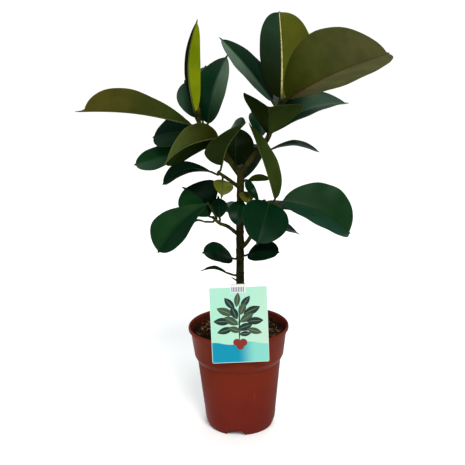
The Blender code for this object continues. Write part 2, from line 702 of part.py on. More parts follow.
def make_leaves(parts, cutters):
    finish = material("Leaf", (0.012, 0.05, 0.02), 0.35)
    for stem_name, blades in LEAVES.items():
        for number, blade in enumerate(blades, start=1):
            name = "leaf_" + stem_name + "_" + str(number)
            make_leaf(name, STEMS[stem_name], blade, finish.copy(), parts, cutters)


def main():
    for thing in list(bpy.data.objects):
        bpy.data.objects.remove(thing)
    parts = bpy.data.collections.new("Potted rubber plant")
    cutters = bpy.data.collections.new("Cutters")
    bpy.context.scene.collection.children.link(parts)
    bpy.context.scene.collection.children.link(cutters)
    make_pot(parts, cutters)
    make_soil(parts, cutters)
    make_label(parts, cutters)
    make_stem(parts, cutters)
    make_bud("right", parts, cutters)
    make_bud("left", parts, cutters)
    make_leaves(parts, cutters)


main()
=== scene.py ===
"""A young rubber plant in a plastic nursery pot, dressed for a plain studio.

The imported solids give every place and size.  Each section below makes one piece, or one
group of like pieces, in the order in which the potted plant is put together.
Dimensions are in millimetres and degrees; MM turns them into Blender's metres.
"""
import math
import random
from collections import namedtuple

import bmesh
import bpy
from mathutils import Matrix, Vector, kdtree, noise


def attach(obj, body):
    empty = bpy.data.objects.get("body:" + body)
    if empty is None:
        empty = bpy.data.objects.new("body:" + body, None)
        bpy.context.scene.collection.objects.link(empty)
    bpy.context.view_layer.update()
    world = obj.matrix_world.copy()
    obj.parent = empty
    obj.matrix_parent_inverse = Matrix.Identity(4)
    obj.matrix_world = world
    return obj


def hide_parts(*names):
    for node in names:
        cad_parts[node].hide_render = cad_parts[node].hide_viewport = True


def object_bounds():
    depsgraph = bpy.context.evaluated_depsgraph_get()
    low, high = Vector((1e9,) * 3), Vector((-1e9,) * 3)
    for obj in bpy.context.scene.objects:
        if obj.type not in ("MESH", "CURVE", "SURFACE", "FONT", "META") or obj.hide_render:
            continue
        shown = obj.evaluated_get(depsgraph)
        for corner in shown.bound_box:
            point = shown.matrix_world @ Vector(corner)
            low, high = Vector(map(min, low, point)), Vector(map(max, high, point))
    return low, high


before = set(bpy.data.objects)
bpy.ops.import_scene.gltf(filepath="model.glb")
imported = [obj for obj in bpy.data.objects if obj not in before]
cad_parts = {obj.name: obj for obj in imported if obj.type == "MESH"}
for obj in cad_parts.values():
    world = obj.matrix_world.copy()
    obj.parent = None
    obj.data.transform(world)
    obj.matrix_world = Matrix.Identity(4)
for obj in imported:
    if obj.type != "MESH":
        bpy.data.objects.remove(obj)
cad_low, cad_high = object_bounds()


# The pot.  One thin wall of injection-moulded terracotta-red polypropylene: a rolled lip, a
# straight collar, a stepped shoulder for stacking, a tapered body, and a foot ring with four
# air notches under a floor with drain holes.

MM = 0.001
POT_TURNS = 128
POT_WALL = 1.8
RIM_RADIUS = 85.0
RIM_TOP = 180.4
LIP_HEIGHT = 6.5
LIP_TURN = 66.0          # the lip's round starts at this angle, past its thin inner flare
COLLAR_TOP_RADIUS = 81.6
COLLAR_BOTTOM_RADIUS = 75.8
COLLAR_BOTTOM = 130.0
CREASE_RADIUS = 70.4
CREASE = 119.0
BODY_LOW_RADIUS = 61.4
BODY_LOW = 30.0
FOOT_CURVE = ((0.6, 21.0), (1.5, 14.0), (2.6, 9.0), (3.9, 5.0))  # in from the low body, height
FOOT_EDGE = ((1.6, 2.0), (0.7, 0.6), (0.0, 0.0))                 # out from the foot, height
FOOT_RADIUS = 54.6
FOOT_FLAT = 3.4
FLOOR_UNDERSIDE = 11.6
FLOOR_THICKNESS = 1.8
FLOOR_CORNER_INSET = 6.0
FLOOR_CORNER_RADIUS = 4.0
NOTCH_ANGLES = (-99.5, -9.5, 80.5, 170.5)
NOTCH_FOOT_WIDTH = 35.0
NOTCH_TOP_WIDTH = 19.0
NOTCH_HEIGHT = 10.6
NOTCH_SHOULDER = 3.0
NOTCH_REACH = 14.0       # the cutter reaches this far in and out of the foot
DRAIN_HOLES = 8
DRAIN_RADIUS = 4.0
DRAIN_CIRCLE = 36.0
POT_SHARP = 34.0


def srgb(red, green, blue):
    """A colour as read off a screen, 0 to 255, in the linear values that shaders use."""
    levels = [value / 255.0 for value in (red, green, blue)]
    return tuple(v / 12.92 if v <= 0.04045 else ((v + 0.055) / 1.055) ** 2.4
                 for v in levels) + (1.0,)


def wire(tree, socket, value):
    """Give a socket a value, or link another socket to it."""
    if isinstance(value, bpy.types.NodeSocket):
        tree.links.new(value, socket)
    else:
        socket.default_value = value


def node(tree, kind, settings=None, **inputs):
    """A new node; underscores in an input's name stand for spaces."""
    made = tree.nodes.new(kind)
    for key, value in (settings or {}).items():
        setattr(made, key, value)
    for key, value in inputs.items():
        wire(tree, made.inputs[key.replace("_", " ")], value)
    return made


def calc(tree, operation, *values):
    """One sum on numbers or sockets."""
    made = node(tree, "ShaderNodeMath", {"operation": operation})
    for socket, value in zip(made.inputs, values):
        wire(tree, socket, value)
    return made.outputs[0]


def mix(tree, share, first, second, blend="MIX"):
    """Blend two colours."""
    made = node(tree, "ShaderNodeMix", {"data_type": "RGBA", "blend_type": blend})
    for socket, value in zip((made.inputs[0], made.inputs[6], made.inputs[7]),
                             (share, first, second)):
        wire(tree, socket, value)
    return made.outputs[2]


def span(tree, value, low, high, to_low=0.0, to_high=1.0):
    """Map a value smoothly from one range onto another."""
    made = node(tree, "ShaderNodeMapRange", {"interpolation_type": "SMOOTHSTEP"},
                From_Min=low, From_Max=high, To_Min=to_low, To_Max=to_high)
    wire(tree, made.inputs["Value"], value)
    return made.outputs["Result"]


def speckle(tree, where, scale, detail=3.0, stretch=(1.0, 1.0, 1.0)):
    """Uneven noise, 0 to 1, that may be drawn out along an axis."""
    placed = node(tree, "ShaderNodeMapping", None, Vector=where, Scale=stretch)
    made = node(tree, "ShaderNodeTexNoise", None, Vector=placed.outputs[0], Scale=scale,
                Detail=detail)
    return made.outputs["Fac"]


def bump(tree, height, strength, distance):
    """A normal that follows a fine relief."""
    made = node(tree, "ShaderNodeBump", None, Strength=strength, Distance=distance,
                Height=height)
    return made.outputs["Normal"]


def new_material(name, **constants):
    """A material, its node tree and its Principled shader with constant sockets set."""
    made = bpy.data.materials.new(name)
    made.use_nodes = True
    tree = made.node_tree
    shader = tree.nodes["Principled BSDF"]
    for key, value in constants.items():
        shader.inputs[key.replace("_", " ")].default_value = value
    return made, tree, shader


def object_place(tree):
    return node(tree, "ShaderNodeTexCoord").outputs["Object"]


def set_smooth(mesh, sharp_above):
    mesh.shade_smooth()
    mesh.set_sharp_from_angle(angle=math.radians(sharp_above))


def in_scene(name, data):
    """A new object in the scene for a mesh, a curve, a lamp or a camera."""
    thing = bpy.data.objects.new(name, data)
    bpy.context.scene.collection.objects.link(thing)
    return thing


def as_object(name, bm, materials, sharp_above=40.0):
    """Turn a bmesh into an object in the scene."""
    mesh = bpy.data.meshes.new(name)
    bm.to_mesh(mesh)
    bm.free()
    for finish in materials:
        mesh.materials.append(finish)
    set_smooth(mesh, sharp_above)
    return in_scene(name, mesh)


def skinned(name, mesh, finish, sharp_above):
    """An object for a mesh that is finished but for its one material."""
    mesh.materials.clear()
    mesh.materials.append(finish)
    set_smooth(mesh, sharp_above)
    return in_scene(name, mesh)


def applied_mesh(thing):
    """The mesh of an object with its modifiers applied; the object is removed."""
    bpy.context.view_layer.update()
    graph = bpy.context.evaluated_depsgraph_get()
    mesh = bpy.data.meshes.new_from_object(thing.evaluated_get(graph))
    bpy.data.objects.remove(thing)
    return mesh


def finish_piece(thing, slot, *nodes):
    """Let a piece ride on the plant and stand for its CAD nodes; its slot is not used."""
    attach(thing, "root")
    if nodes:
        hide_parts(*nodes)


def arc(centre, radius, start, end, steps):
    """Points on an arc of a profile, from one angle to another."""
    angles = [math.radians(start + (end - start) * i / steps) for i in range(steps + 1)]
    return [(centre[0] + radius * math.cos(a), centre[1] + radius * math.sin(a))
            for a in angles]


def pot_profile():
    """The wall's outline, from the middle of the floor up the inside and down the outside."""
    floor = FLOOR_UNDERSIDE + FLOOR_THICKNESS
    inner_low = BODY_LOW_RADIUS - POT_WALL
    inside = [(0.0, floor)]
    inside += arc((inner_low - FLOOR_CORNER_INSET, floor + FLOOR_CORNER_RADIUS),
                  FLOOR_CORNER_RADIUS, -90, -12, 6)
    inside += [(inner_low, BODY_LOW), (CREASE_RADIUS - POT_WALL, CREASE - 1.0),
               (CREASE_RADIUS - POT_WALL + 0.7, CREASE + 2.0),
               (COLLAR_BOTTOM_RADIUS - POT_WALL - 0.6, COLLAR_BOTTOM - 1.6),
               (COLLAR_BOTTOM_RADIUS - POT_WALL, COLLAR_BOTTOM + 1.0),
               (COLLAR_TOP_RADIUS - POT_WALL, RIM_TOP - LIP_HEIGHT),
               (COLLAR_TOP_RADIUS + 0.6, RIM_TOP - 1.6),
               (COLLAR_TOP_RADIUS + 1.1, RIM_TOP - 0.5)]
    lip = RIM_RADIUS - COLLAR_TOP_RADIUS
    outside = arc((RIM_RADIUS - lip, RIM_TOP - lip), lip, LIP_TURN, 0, 8)
    outside += [(RIM_RADIUS, RIM_TOP - LIP_HEIGHT + 1.0)]
    outside += arc((RIM_RADIUS - 0.8, RIM_TOP - LIP_HEIGHT + 0.8), 0.8, 0, -80, 4)
    outside += [(COLLAR_TOP_RADIUS + 0.2, RIM_TOP - LIP_HEIGHT - 0.5),
                (COLLAR_TOP_RADIUS - 0.3, RIM_TOP - LIP_HEIGHT - 2.0)]
    outside += arc((COLLAR_BOTTOM_RADIUS - 1.4, COLLAR_BOTTOM - 0.4), 1.4, 4, -40, 5)
    outside += [(CREASE_RADIUS + 1.2, CREASE + 1.6), (CREASE_RADIUS - 0.5, CREASE + 0.7),
                (CREASE_RADIUS - 0.5, CREASE - 0.3), (CREASE_RADIUS + 0.1, CREASE - 1.6)]
    outside += [(BODY_LOW_RADIUS, BODY_LOW)]
    outside += [(BODY_LOW_RADIUS - inset, height) for inset, height in FOOT_CURVE]
    outside += [(FOOT_RADIUS + more, height) for more, height in FOOT_EDGE]
    under = [(FOOT_RADIUS - FOOT_FLAT, 0.0), (FOOT_RADIUS - FOOT_FLAT, FLOOR_UNDERSIDE),
             (0.0, FLOOR_UNDERSIDE)]
    return inside + outside + under


def turned(profile, turns):
    """A closed form turned about the Z axis from a profile of (radius, height) points."""
    bm = bmesh.new()
    verts = [bm.verts.new(Vector((r, 0.0, z)) * MM) for r, z in profile]
    edges = [bm.edges.new(pair) for pair in zip(verts, verts[1:])]
    bmesh.ops.spin(bm, geom=verts + edges, axis=(0, 0, 1), cent=(0, 0, 0), steps=turns,
                   angle=math.tau, use_merge=True, use_duplicate=False)
    bmesh.ops.remove_doubles(bm, verts=bm.verts, dist=0.01 * MM)
    bmesh.ops.recalc_face_normals(bm, faces=bm.faces)
    return bm


def notch_cutter(angle):
    """The tapered block with round shoulders that leaves one air notch in the foot."""
    bm = bmesh.new()
    bmesh.ops.create_cube(bm, size=2.0)
    for vert in bm.verts:
        low = vert.co.z < 0
        half = (NOTCH_FOOT_WIDTH if low else NOTCH_TOP_WIDTH) / 2
        vert.co = Vector((FOOT_RADIUS + NOTCH_REACH * vert.co.x, half * vert.co.y,
                          -1.5 if low else NOTCH_HEIGHT)) * MM
    shoulders = [e for e in bm.edges
                 if all(v.co.z > 0 for v in e.verts)
                 and abs(e.verts[0].co.y - e.verts[1].co.y) < MM]
    bmesh.ops.bevel(bm, geom=shoulders, offset=NOTCH_SHOULDER * MM, segments=5,
                    profile=0.5, affect="EDGES", material=-1)
    bmesh.ops.rotate(bm, verts=bm.verts, matrix=Matrix.Rotation(math.radians(angle), 3, "Z"))
    return bm


def drain_cutter(angle):
    """The peg that leaves one drain hole in the floor."""
    bm = bmesh.new()
    bmesh.ops.create_cone(bm, cap_ends=True, segments=24, radius1=DRAIN_RADIUS * MM,
                          radius2=DRAIN_RADIUS * MM, depth=5 * FLOOR_THICKNESS * MM)
    spot = Vector((math.cos(angle) * DRAIN_CIRCLE, math.sin(angle) * DRAIN_CIRCLE,
                   FLOOR_UNDERSIDE + FLOOR_THICKNESS / 2)) * MM
    bmesh.ops.translate(bm, verts=bm.verts, vec=spot)
    return bm


def cut_away(thing, cutters):
    """Cut other forms out of an object, and return the finished mesh."""
    tools = [as_object("cutter", bm, []) for bm in cutters]
    for tool in tools:
        cut = thing.modifiers.new("Cut", "BOOLEAN")
        cut.operation = "DIFFERENCE"
        cut.solver = "EXACT"
        cut.object = tool
    mesh = applied_mesh(thing)
    for tool in tools:
        bpy.data.objects.remove(tool)
    return mesh


def moulded_plastic():
    """Red-brown plastic: a faint mottle, fine scuffs, painted shade on the rim's inner wall,
    and soil rubbed on there.
    """
    finish, tree, shader = new_material("Terracotta plastic", Specular_IOR_Level=0.04)
    where = object_place(tree)
    parts = node(tree, "ShaderNodeSeparateXYZ", None, Vector=where).outputs
    height = parts["Z"]
    low, high = srgb(94, 28, 19), srgb(98, 33, 15)
    colour = mix(tree, span(tree, height, 20 * MM, 150 * MM), low, high)
    mottle = speckle(tree, where, 14.0, 4.0)
    colour = mix(tree, span(tree, mottle, 0.35, 0.75, 0.0, 0.4), colour, srgb(78, 24, 15))
    scuff = speckle(tree, where, 160.0, 5.0, (1.0, 1.0, 0.12))
    scuffs = span(tree, scuff, 0.66, 0.74)
    colour = mix(tree, calc(tree, "MULTIPLY", scuffs, 0.16), colour, srgb(140, 74, 56))
    grit = speckle(tree, where, 230.0, 6.0)
    out = calc(tree, "SQRT", calc(tree, "ADD", calc(tree, "POWER", parts["X"], 2.0),
                                  calc(tree, "POWER", parts["Y"], 2.0)))
    # The rim's inner wall above the soil is darkened as painted shade, where the rim shades
    # its own inside; the gritty stain mixed in after it is soil.
    slope = (COLLAR_TOP_RADIUS - COLLAR_BOTTOM_RADIUS) / (RIM_TOP - LIP_HEIGHT - COLLAR_BOTTOM)
    middle = COLLAR_BOTTOM_RADIUS - POT_WALL / 2 - slope * COLLAR_BOTTOM
    wall = calc(tree, "ADD", calc(tree, "MULTIPLY", height, slope), middle * MM)
    inside = calc(tree, "MULTIPLY", span(tree, height, 150 * MM, 164 * MM),
                  span(tree, calc(tree, "SUBTRACT", out, wall), 0.3 * MM, -0.3 * MM))
    colour = mix(tree, calc(tree, "MULTIPLY", inside, 0.62), colour, srgb(44, 15, 10))
    soiled = calc(tree, "MULTIPLY", span(tree, grit, 0.5, 0.62), inside)
    colour = mix(tree, calc(tree, "MULTIPLY", soiled, 0.8), colour, srgb(24, 14, 9))
    wire(tree, shader.inputs["Base Color"], colour)
    wire(tree, shader.inputs["Roughness"], span(tree, mottle, 0.3, 0.8, 0.42, 0.56))
    wire(tree, shader.inputs["Normal"], bump(tree, grit, 0.06, 0.4 * MM))
    return finish


pot = as_object("pot_shell", turned(pot_profile(), POT_TURNS), [])
pot_holes = [notch_cutter(angle) for angle in NOTCH_ANGLES]
pot_holes += [drain_cutter(math.tau * (i + 0.5) / DRAIN_HOLES) for i in range(DRAIN_HOLES)]
pot_mesh = cut_away(pot, pot_holes)
finish_piece(skinned("pot_shell", pot_mesh, moulded_plastic(), POT_SHARP), "pot", "pot")


# The soil.  Moist dark peat compost, pressed in by hand to a little under the lip, with
# crumbs of it loose on top and pale straws of coconut fibre lying among them.

SOIL_EDGE = 167.0
SOIL_CROWN = 3.0
SOIL_RINGS = 30
SOIL_GAP = 0.3
SOIL_LUMP = 1.5
CRUMBS = 620
CRUMB_SIZES = (0.9, 1.3, 1.3, 1.9, 2.6)
CRUMB_INNER = 11.0
CRUMB_OUTER = 76.0
FIBRES = 240
FIBRE_LENGTHS = (5.0, 17.0)
FIBRE_THICK_END = 0.42
FIBRE_THIN_END = 0.16
FIBRE_INNER = 13.0
FIBRE_OUTER = 74.0
FIBRE_LIFT = 1.1
random.seed(11)


def soil_height(x, y):
    """The height of the pressed soil at a point, in millimetres."""
    out = math.hypot(x, y) / COLLAR_TOP_RADIUS
    coarse = noise.noise(Vector((x, y, 0.0)) * 0.07)
    fine = noise.fractal(Vector((x, y, 7.0)) * 0.28, 1.0, 2.0, 4)
    return SOIL_EDGE + SOIL_CROWN * (1 - out ** 2) + SOIL_LUMP * coarse + 0.9 * fine


def soil_block():
    """The whole filling: an uneven top, and sides that follow the pot's inner wall."""
    wall = COLLAR_BOTTOM_RADIUS - POT_WALL + (COLLAR_TOP_RADIUS - COLLAR_BOTTOM_RADIUS) * (
        (SOIL_EDGE - COLLAR_BOTTOM) / (RIM_TOP - COLLAR_BOTTOM)) - SOIL_GAP
    low_wall = BODY_LOW_RADIUS - POT_WALL - SOIL_GAP
    floor = FLOOR_UNDERSIDE + FLOOR_THICKNESS + SOIL_GAP
    profile = [(wall * i / SOIL_RINGS, SOIL_EDGE) for i in range(SOIL_RINGS + 1)]
    profile += [(COLLAR_BOTTOM_RADIUS - POT_WALL - SOIL_GAP - 0.6, COLLAR_BOTTOM - 1.6),
                (CREASE_RADIUS - POT_WALL - SOIL_GAP, CREASE), (low_wall, BODY_LOW),
                (low_wall - 4.0, floor + 2.0), (low_wall - 7.0, floor), (0.0, floor)]
    bm = turned(profile, 120)
    for vert in bm.verts:
        if vert.co.z > (SOIL_EDGE - 1.0) * MM:
            x, y = vert.co.x / MM, vert.co.y / MM
            vert.co.z = soil_height(x, y) * MM
    return bm


def compost():
    """Near-black peat with brown and tan grains, damp enough to shine a little."""
    finish, tree, shader = new_material("Peat compost", Specular_IOR_Level=0.02)
    where = object_place(tree)
    grain = speckle(tree, where, 420.0, 6.0)
    patch = speckle(tree, where, 60.0, 4.0)
    colour = mix(tree, span(tree, patch, 0.35, 0.7), srgb(15, 9, 6), srgb(36, 21, 12))
    colour = mix(tree, span(tree, grain, 0.64, 0.74, 0.0, 0.5), colour, srgb(96, 66, 38))
    wire(tree, shader.inputs["Base Color"], colour)
    wire(tree, shader.inputs["Roughness"], span(tree, patch, 0.3, 0.7, 0.75, 0.98))
    wire(tree, shader.inputs["Normal"], bump(tree, grain, 0.7, 0.8 * MM))
    return finish


def scattered_spot(inner, outer):
    """A random place on the soil, as a point in millimetres."""
    turn = random.uniform(0.0, math.tau)
    out = math.sqrt(random.uniform(inner ** 2, outer ** 2))
    x, y = out * math.cos(turn), out * math.sin(turn)
    return Vector((x, y, soil_height(x, y)))


def crumb(bm):
    """One loose crumb of compost, or one scrap of bark."""
    size = random.choice(CRUMB_SIZES)
    made = bmesh.ops.create_icosphere(bm, subdivisions=1, radius=size * MM)["verts"]
    shape = Matrix.Diagonal((random.uniform(0.7, 1.5), random.uniform(0.6, 1.1),
                             random.uniform(0.4, 0.8)))
    turn = Matrix.Rotation(random.uniform(0, math.tau), 3, "Z")
    bmesh.ops.transform(bm, verts=made, matrix=(turn @ shape).to_4x4())
    spot = scattered_spot(CRUMB_INNER, CRUMB_OUTER) + Vector((0, 0, 0.1 * size))
    bmesh.ops.translate(bm, verts=made, vec=spot * MM)


def fibre(bm):
    """One thin straw of coconut fibre, lying nearly flat."""
    length = random.uniform(*FIBRE_LENGTHS)
    made = bmesh.ops.create_cone(bm, cap_ends=True, segments=4, radius1=FIBRE_THICK_END * MM,
                                 radius2=FIBRE_THIN_END * MM, depth=length * MM)["verts"]
    flat = Matrix.Rotation(math.pi / 2 + random.uniform(-0.16, 0.16), 3, "X")
    turn = Matrix.Rotation(random.uniform(0, math.tau), 3, "Z")
    bmesh.ops.transform(bm, verts=made, matrix=(turn @ flat).to_4x4())
    spot = scattered_spot(FIBRE_INNER, FIBRE_OUTER - length / 2) + Vector((0, 0, FIBRE_LIFT))
    bmesh.ops.translate(bm, verts=made, vec=spot * MM)


def straw():
    """Dry tan fibre, browner here and there."""
    finish, tree, shader = new_material("Coconut fibre", Roughness=0.8,
                                        Specular_IOR_Level=0.05)
    where = object_place(tree)
    tint = speckle(tree, where, 55.0, 2.0)
    colour = mix(tree, span(tree, tint, 0.4, 0.62), srgb(74, 44, 26), srgb(178, 140, 96))
    wire(tree, shader.inputs["Base Color"], colour)
    wire(tree, shader.inputs["Normal"], bump(tree, speckle(tree, where, 900.0), 0.4, 0.2 * MM))
    return finish


soil_finish = compost()
soil = as_object("soil_bed", soil_block(), [soil_finish], 50.0)
finish_piece(soil, "soil", "soil")

crumb_bm = bmesh.new()
for _ in range(CRUMBS):
    crumb(crumb_bm)
crumbs = as_object("soil_crumbs", crumb_bm, [soil_finish], 80.0)
finish_piece(crumbs, "soil")

fibre_bm = bmesh.new()
for _ in range(FIBRES):
    fibre(fibre_bm)
fibres = as_object("soil_fibres", fibre_bm, [straw()], 80.0)
finish_piece(fibres, "soil")


# The plant label.  One sheet of printed polypropylene: a wide card in front of the rim, and a
# narrow leg, folded over at the card's top and pushed into the soil behind the rim.  The print
# here is a plain sprig on mint and blue, with no words.

CARD_WIDTH = 92.0
CARD_BOTTOM = 147.0
CARD_TOP = 276.0
CARD_THICKNESS = 0.6
CARD_CORNER = 2.0
CARD_TILT = 1.0
CARD_DEPTH = 85.7
LEG_WIDTH = 24.0
LEG_TOP_DEPTH = 79.6
LEG_FOOT = 140.0
LEG_FOOT_DEPTH = 69.5
LEG_POINT_WIDTH = 9.0
LEG_POINT_LENGTH = 12.0
LEG_OVERLAP = 3.0        # the leg is joined to the card over this height
FOLD_RISE = 0.5
FOLD_STEPS = 10


def card_sheet():
    """The card as a flat sheet without thickness, round at its corners and a little askew."""
    bm = bmesh.new()
    bmesh.ops.create_grid(bm, x_segments=1, y_segments=1, size=1.0)
    middle = (CARD_TOP + CARD_BOTTOM) / 2
    for vert in bm.verts:
        vert.co = Vector((vert.co.x * CARD_WIDTH / 2, -CARD_DEPTH,
                          middle + vert.co.y * (CARD_TOP - CARD_BOTTOM) / 2)) * MM
    bmesh.ops.bevel(bm, geom=bm.verts[:], offset=CARD_CORNER * MM, segments=5, profile=0.5,
                    affect="VERTICES", material=-1)
    turn = Matrix.Rotation(math.radians(-CARD_TILT), 3, "Y")
    bmesh.ops.rotate(bm, verts=bm.verts, cent=Vector((0, 0, CARD_TOP)) * MM, matrix=turn)
    return bm


def leg_path():
    """The leg's line over the fold and down, as (depth, height, half width)."""
    fold = (CARD_DEPTH - LEG_TOP_DEPTH) / 2
    half = LEG_WIDTH / 2
    path = [(-CARD_DEPTH + 0.05, CARD_TOP - LEG_OVERLAP, half), (-CARD_DEPTH, CARD_TOP, half)]
    for i in range(FOLD_STEPS + 1):
        turn = math.pi * i / FOLD_STEPS
        path.append((-CARD_DEPTH + fold - fold * math.cos(turn),
                     CARD_TOP + FOLD_RISE + fold * math.sin(turn), half))
    shoulder = LEG_FOOT + LEG_POINT_LENGTH
    share = (CARD_TOP - shoulder) / (CARD_TOP - LEG_FOOT)
    depth = LEG_TOP_DEPTH + (LEG_FOOT_DEPTH - LEG_TOP_DEPTH) * share
    path.append((-depth, shoulder, half))
    path.append((-LEG_FOOT_DEPTH, LEG_FOOT, LEG_POINT_WIDTH / 2))
    return path


def leg_sheet():
    """The leg, drawn out edge by edge along its line."""
    bm = bmesh.new()
    path = leg_path()
    ends = [bm.verts.new(Vector((s * path[0][2], path[0][0], path[0][1])) * MM)
            for s in (-1, 1)]
    edge = bm.edges.new(ends)
    for depth, height, half in path[1:]:
        drawn = bmesh.ops.extrude_edge_only(bm, edges=[edge])["geom"]
        verts = sorted((g for g in drawn if isinstance(g, bmesh.types.BMVert)),
                       key=lambda v: v.co.x)
        for vert, side in zip(verts, (-1, 1)):
            vert.co = Vector((side * half, depth, height)) * MM
        edge = next(e for e in verts[0].link_edges if verts[1] in e.verts)
    return bm


def with_card_map(bm):
    """Give a sheet a map in centimetres from the card's middle, as the print needs."""
    middle = (CARD_TOP + CARD_BOTTOM) / 2
    back = Matrix.Rotation(math.radians(CARD_TILT), 3, "Y")
    pivot = Vector((0, 0, CARD_TOP)) * MM
    layer = bm.loops.layers.uv.new("Print")
    for face in bm.faces:
        for loop in face.loops:
            flat = back @ (loop.vert.co - pivot) + pivot
            loop[layer].uv = (flat.x / (10 * MM), (flat.z / MM - middle) / 10)
    return bm


def thickened(thing, thickness):
    """Give a sheet its thickness; the far side and the rim take its second material."""
    solid = thing.modifiers.new("Thickness", "SOLIDIFY")
    solid.thickness = thickness * MM
    solid.offset = 0.0
    solid.use_even_offset = True
    solid.material_offset = 1
    solid.material_offset_rim = 1
    return applied_mesh(thing)


def new_group(name, inputs, outputs):
    """An empty shader node group, with its sockets given as names and kinds."""
    tree = bpy.data.node_groups.new(name, "ShaderNodeTree")
    for way, sockets in (("INPUT", inputs), ("OUTPUT", outputs)):
        for socket, kind in sockets.items():
            tree.interface.new_socket(socket, in_out=way, socket_type="NodeSocket" + kind)
    return tree


def printed_shape_group():
    """A node group that masks one pointed oval, as on a leaf in a block print."""
    tree = new_group("Printed oval", {"Place": "Vector", "Centre": "Vector", "Turn": "Vector",
                                      "Half size": "Vector"}, {"Mask": "Float"})
    given = node(tree, "NodeGroupInput").outputs
    local = node(tree, "ShaderNodeMapping", {"vector_type": "TEXTURE"},
                 Vector=given["Place"], Location=given["Centre"], Rotation=given["Turn"],
                 Scale=given["Half size"])
    parts = node(tree, "ShaderNodeSeparateXYZ", None, Vector=local.outputs[0]).outputs
    room = calc(tree, "SUBTRACT", 1.0, calc(tree, "POWER", calc(tree, "ABSOLUTE", parts["X"]),
                                            2.0))
    edge = calc(tree, "SUBTRACT", room, calc(tree, "ABSOLUTE", parts["Y"]))
    shown = node(tree, "NodeGroupOutput")
    wire(tree, shown.inputs["Mask"], span(tree, edge, -0.02, 0.06))
    return tree


SPRIG = (                # centre x and y, turn, half length and half width of each leaf
    (-0.2, 4.3, 82, 1.25, 0.5, "light"), (1.05, 3.9, 52, 1.3, 0.55, "dark"),
    (-1.45, 3.7, 128, 1.3, 0.58, "dark"), (0.55, 2.75, 66, 1.2, 0.6, "light"),
    (2.05, 2.45, 24, 1.5, 0.68, "dark"), (-2.2, 2.35, 156, 1.5, 0.66, "light"),
    (-0.75, 2.1, 112, 1.2, 0.62, "dark"), (1.2, 1.25, 34, 1.35, 0.66, "light"),
    (2.5, 0.65, 2, 1.4, 0.66, "dark"), (-2.7, 0.7, 178, 1.45, 0.68, "dark"),
    (-1.25, 0.75, 146, 1.3, 0.66, "light"), (0.9, -0.3, 18, 1.3, 0.62, "dark"),
    (2.35, -1.05, -18, 1.3, 0.56, "light"), (-2.3, -0.85, 196, 1.4, 0.6, "dark"),
    (-0.8, -0.75, 160, 1.1, 0.56, "light"), (0.85, -1.5, 4, 1.0, 0.46, "dark"))
TWIGS = ((0.0, 0.2, 88, 3.9, 0.13), (0.9, 1.0, 34, 1.8, 0.09), (-1.2, 1.2, 146, 1.8, 0.09),
         (1.1, -0.9, 4, 1.5, 0.09), (-1.3, -0.9, 170, 1.5, 0.09))
BERRIES = ((-0.5, -2.95, 0.62), (0.5, -3.0, 0.66), (0.0, -3.65, 0.6))
INK = {"light": srgb(56, 72, 52), "dark": srgb(24, 42, 36)}


def shape_mask(tree, group, where, x, y, turn, half_long, half_wide):
    """The mask of one pointed oval of the print."""
    made = node(tree, "ShaderNodeGroup", {"node_tree": group}, Place=where,
                Centre=(x, y, 0.0), Turn=(0.0, 0.0, math.radians(turn)),
                Half_size=(half_long, half_wide, 1.0))
    return made.outputs["Mask"]


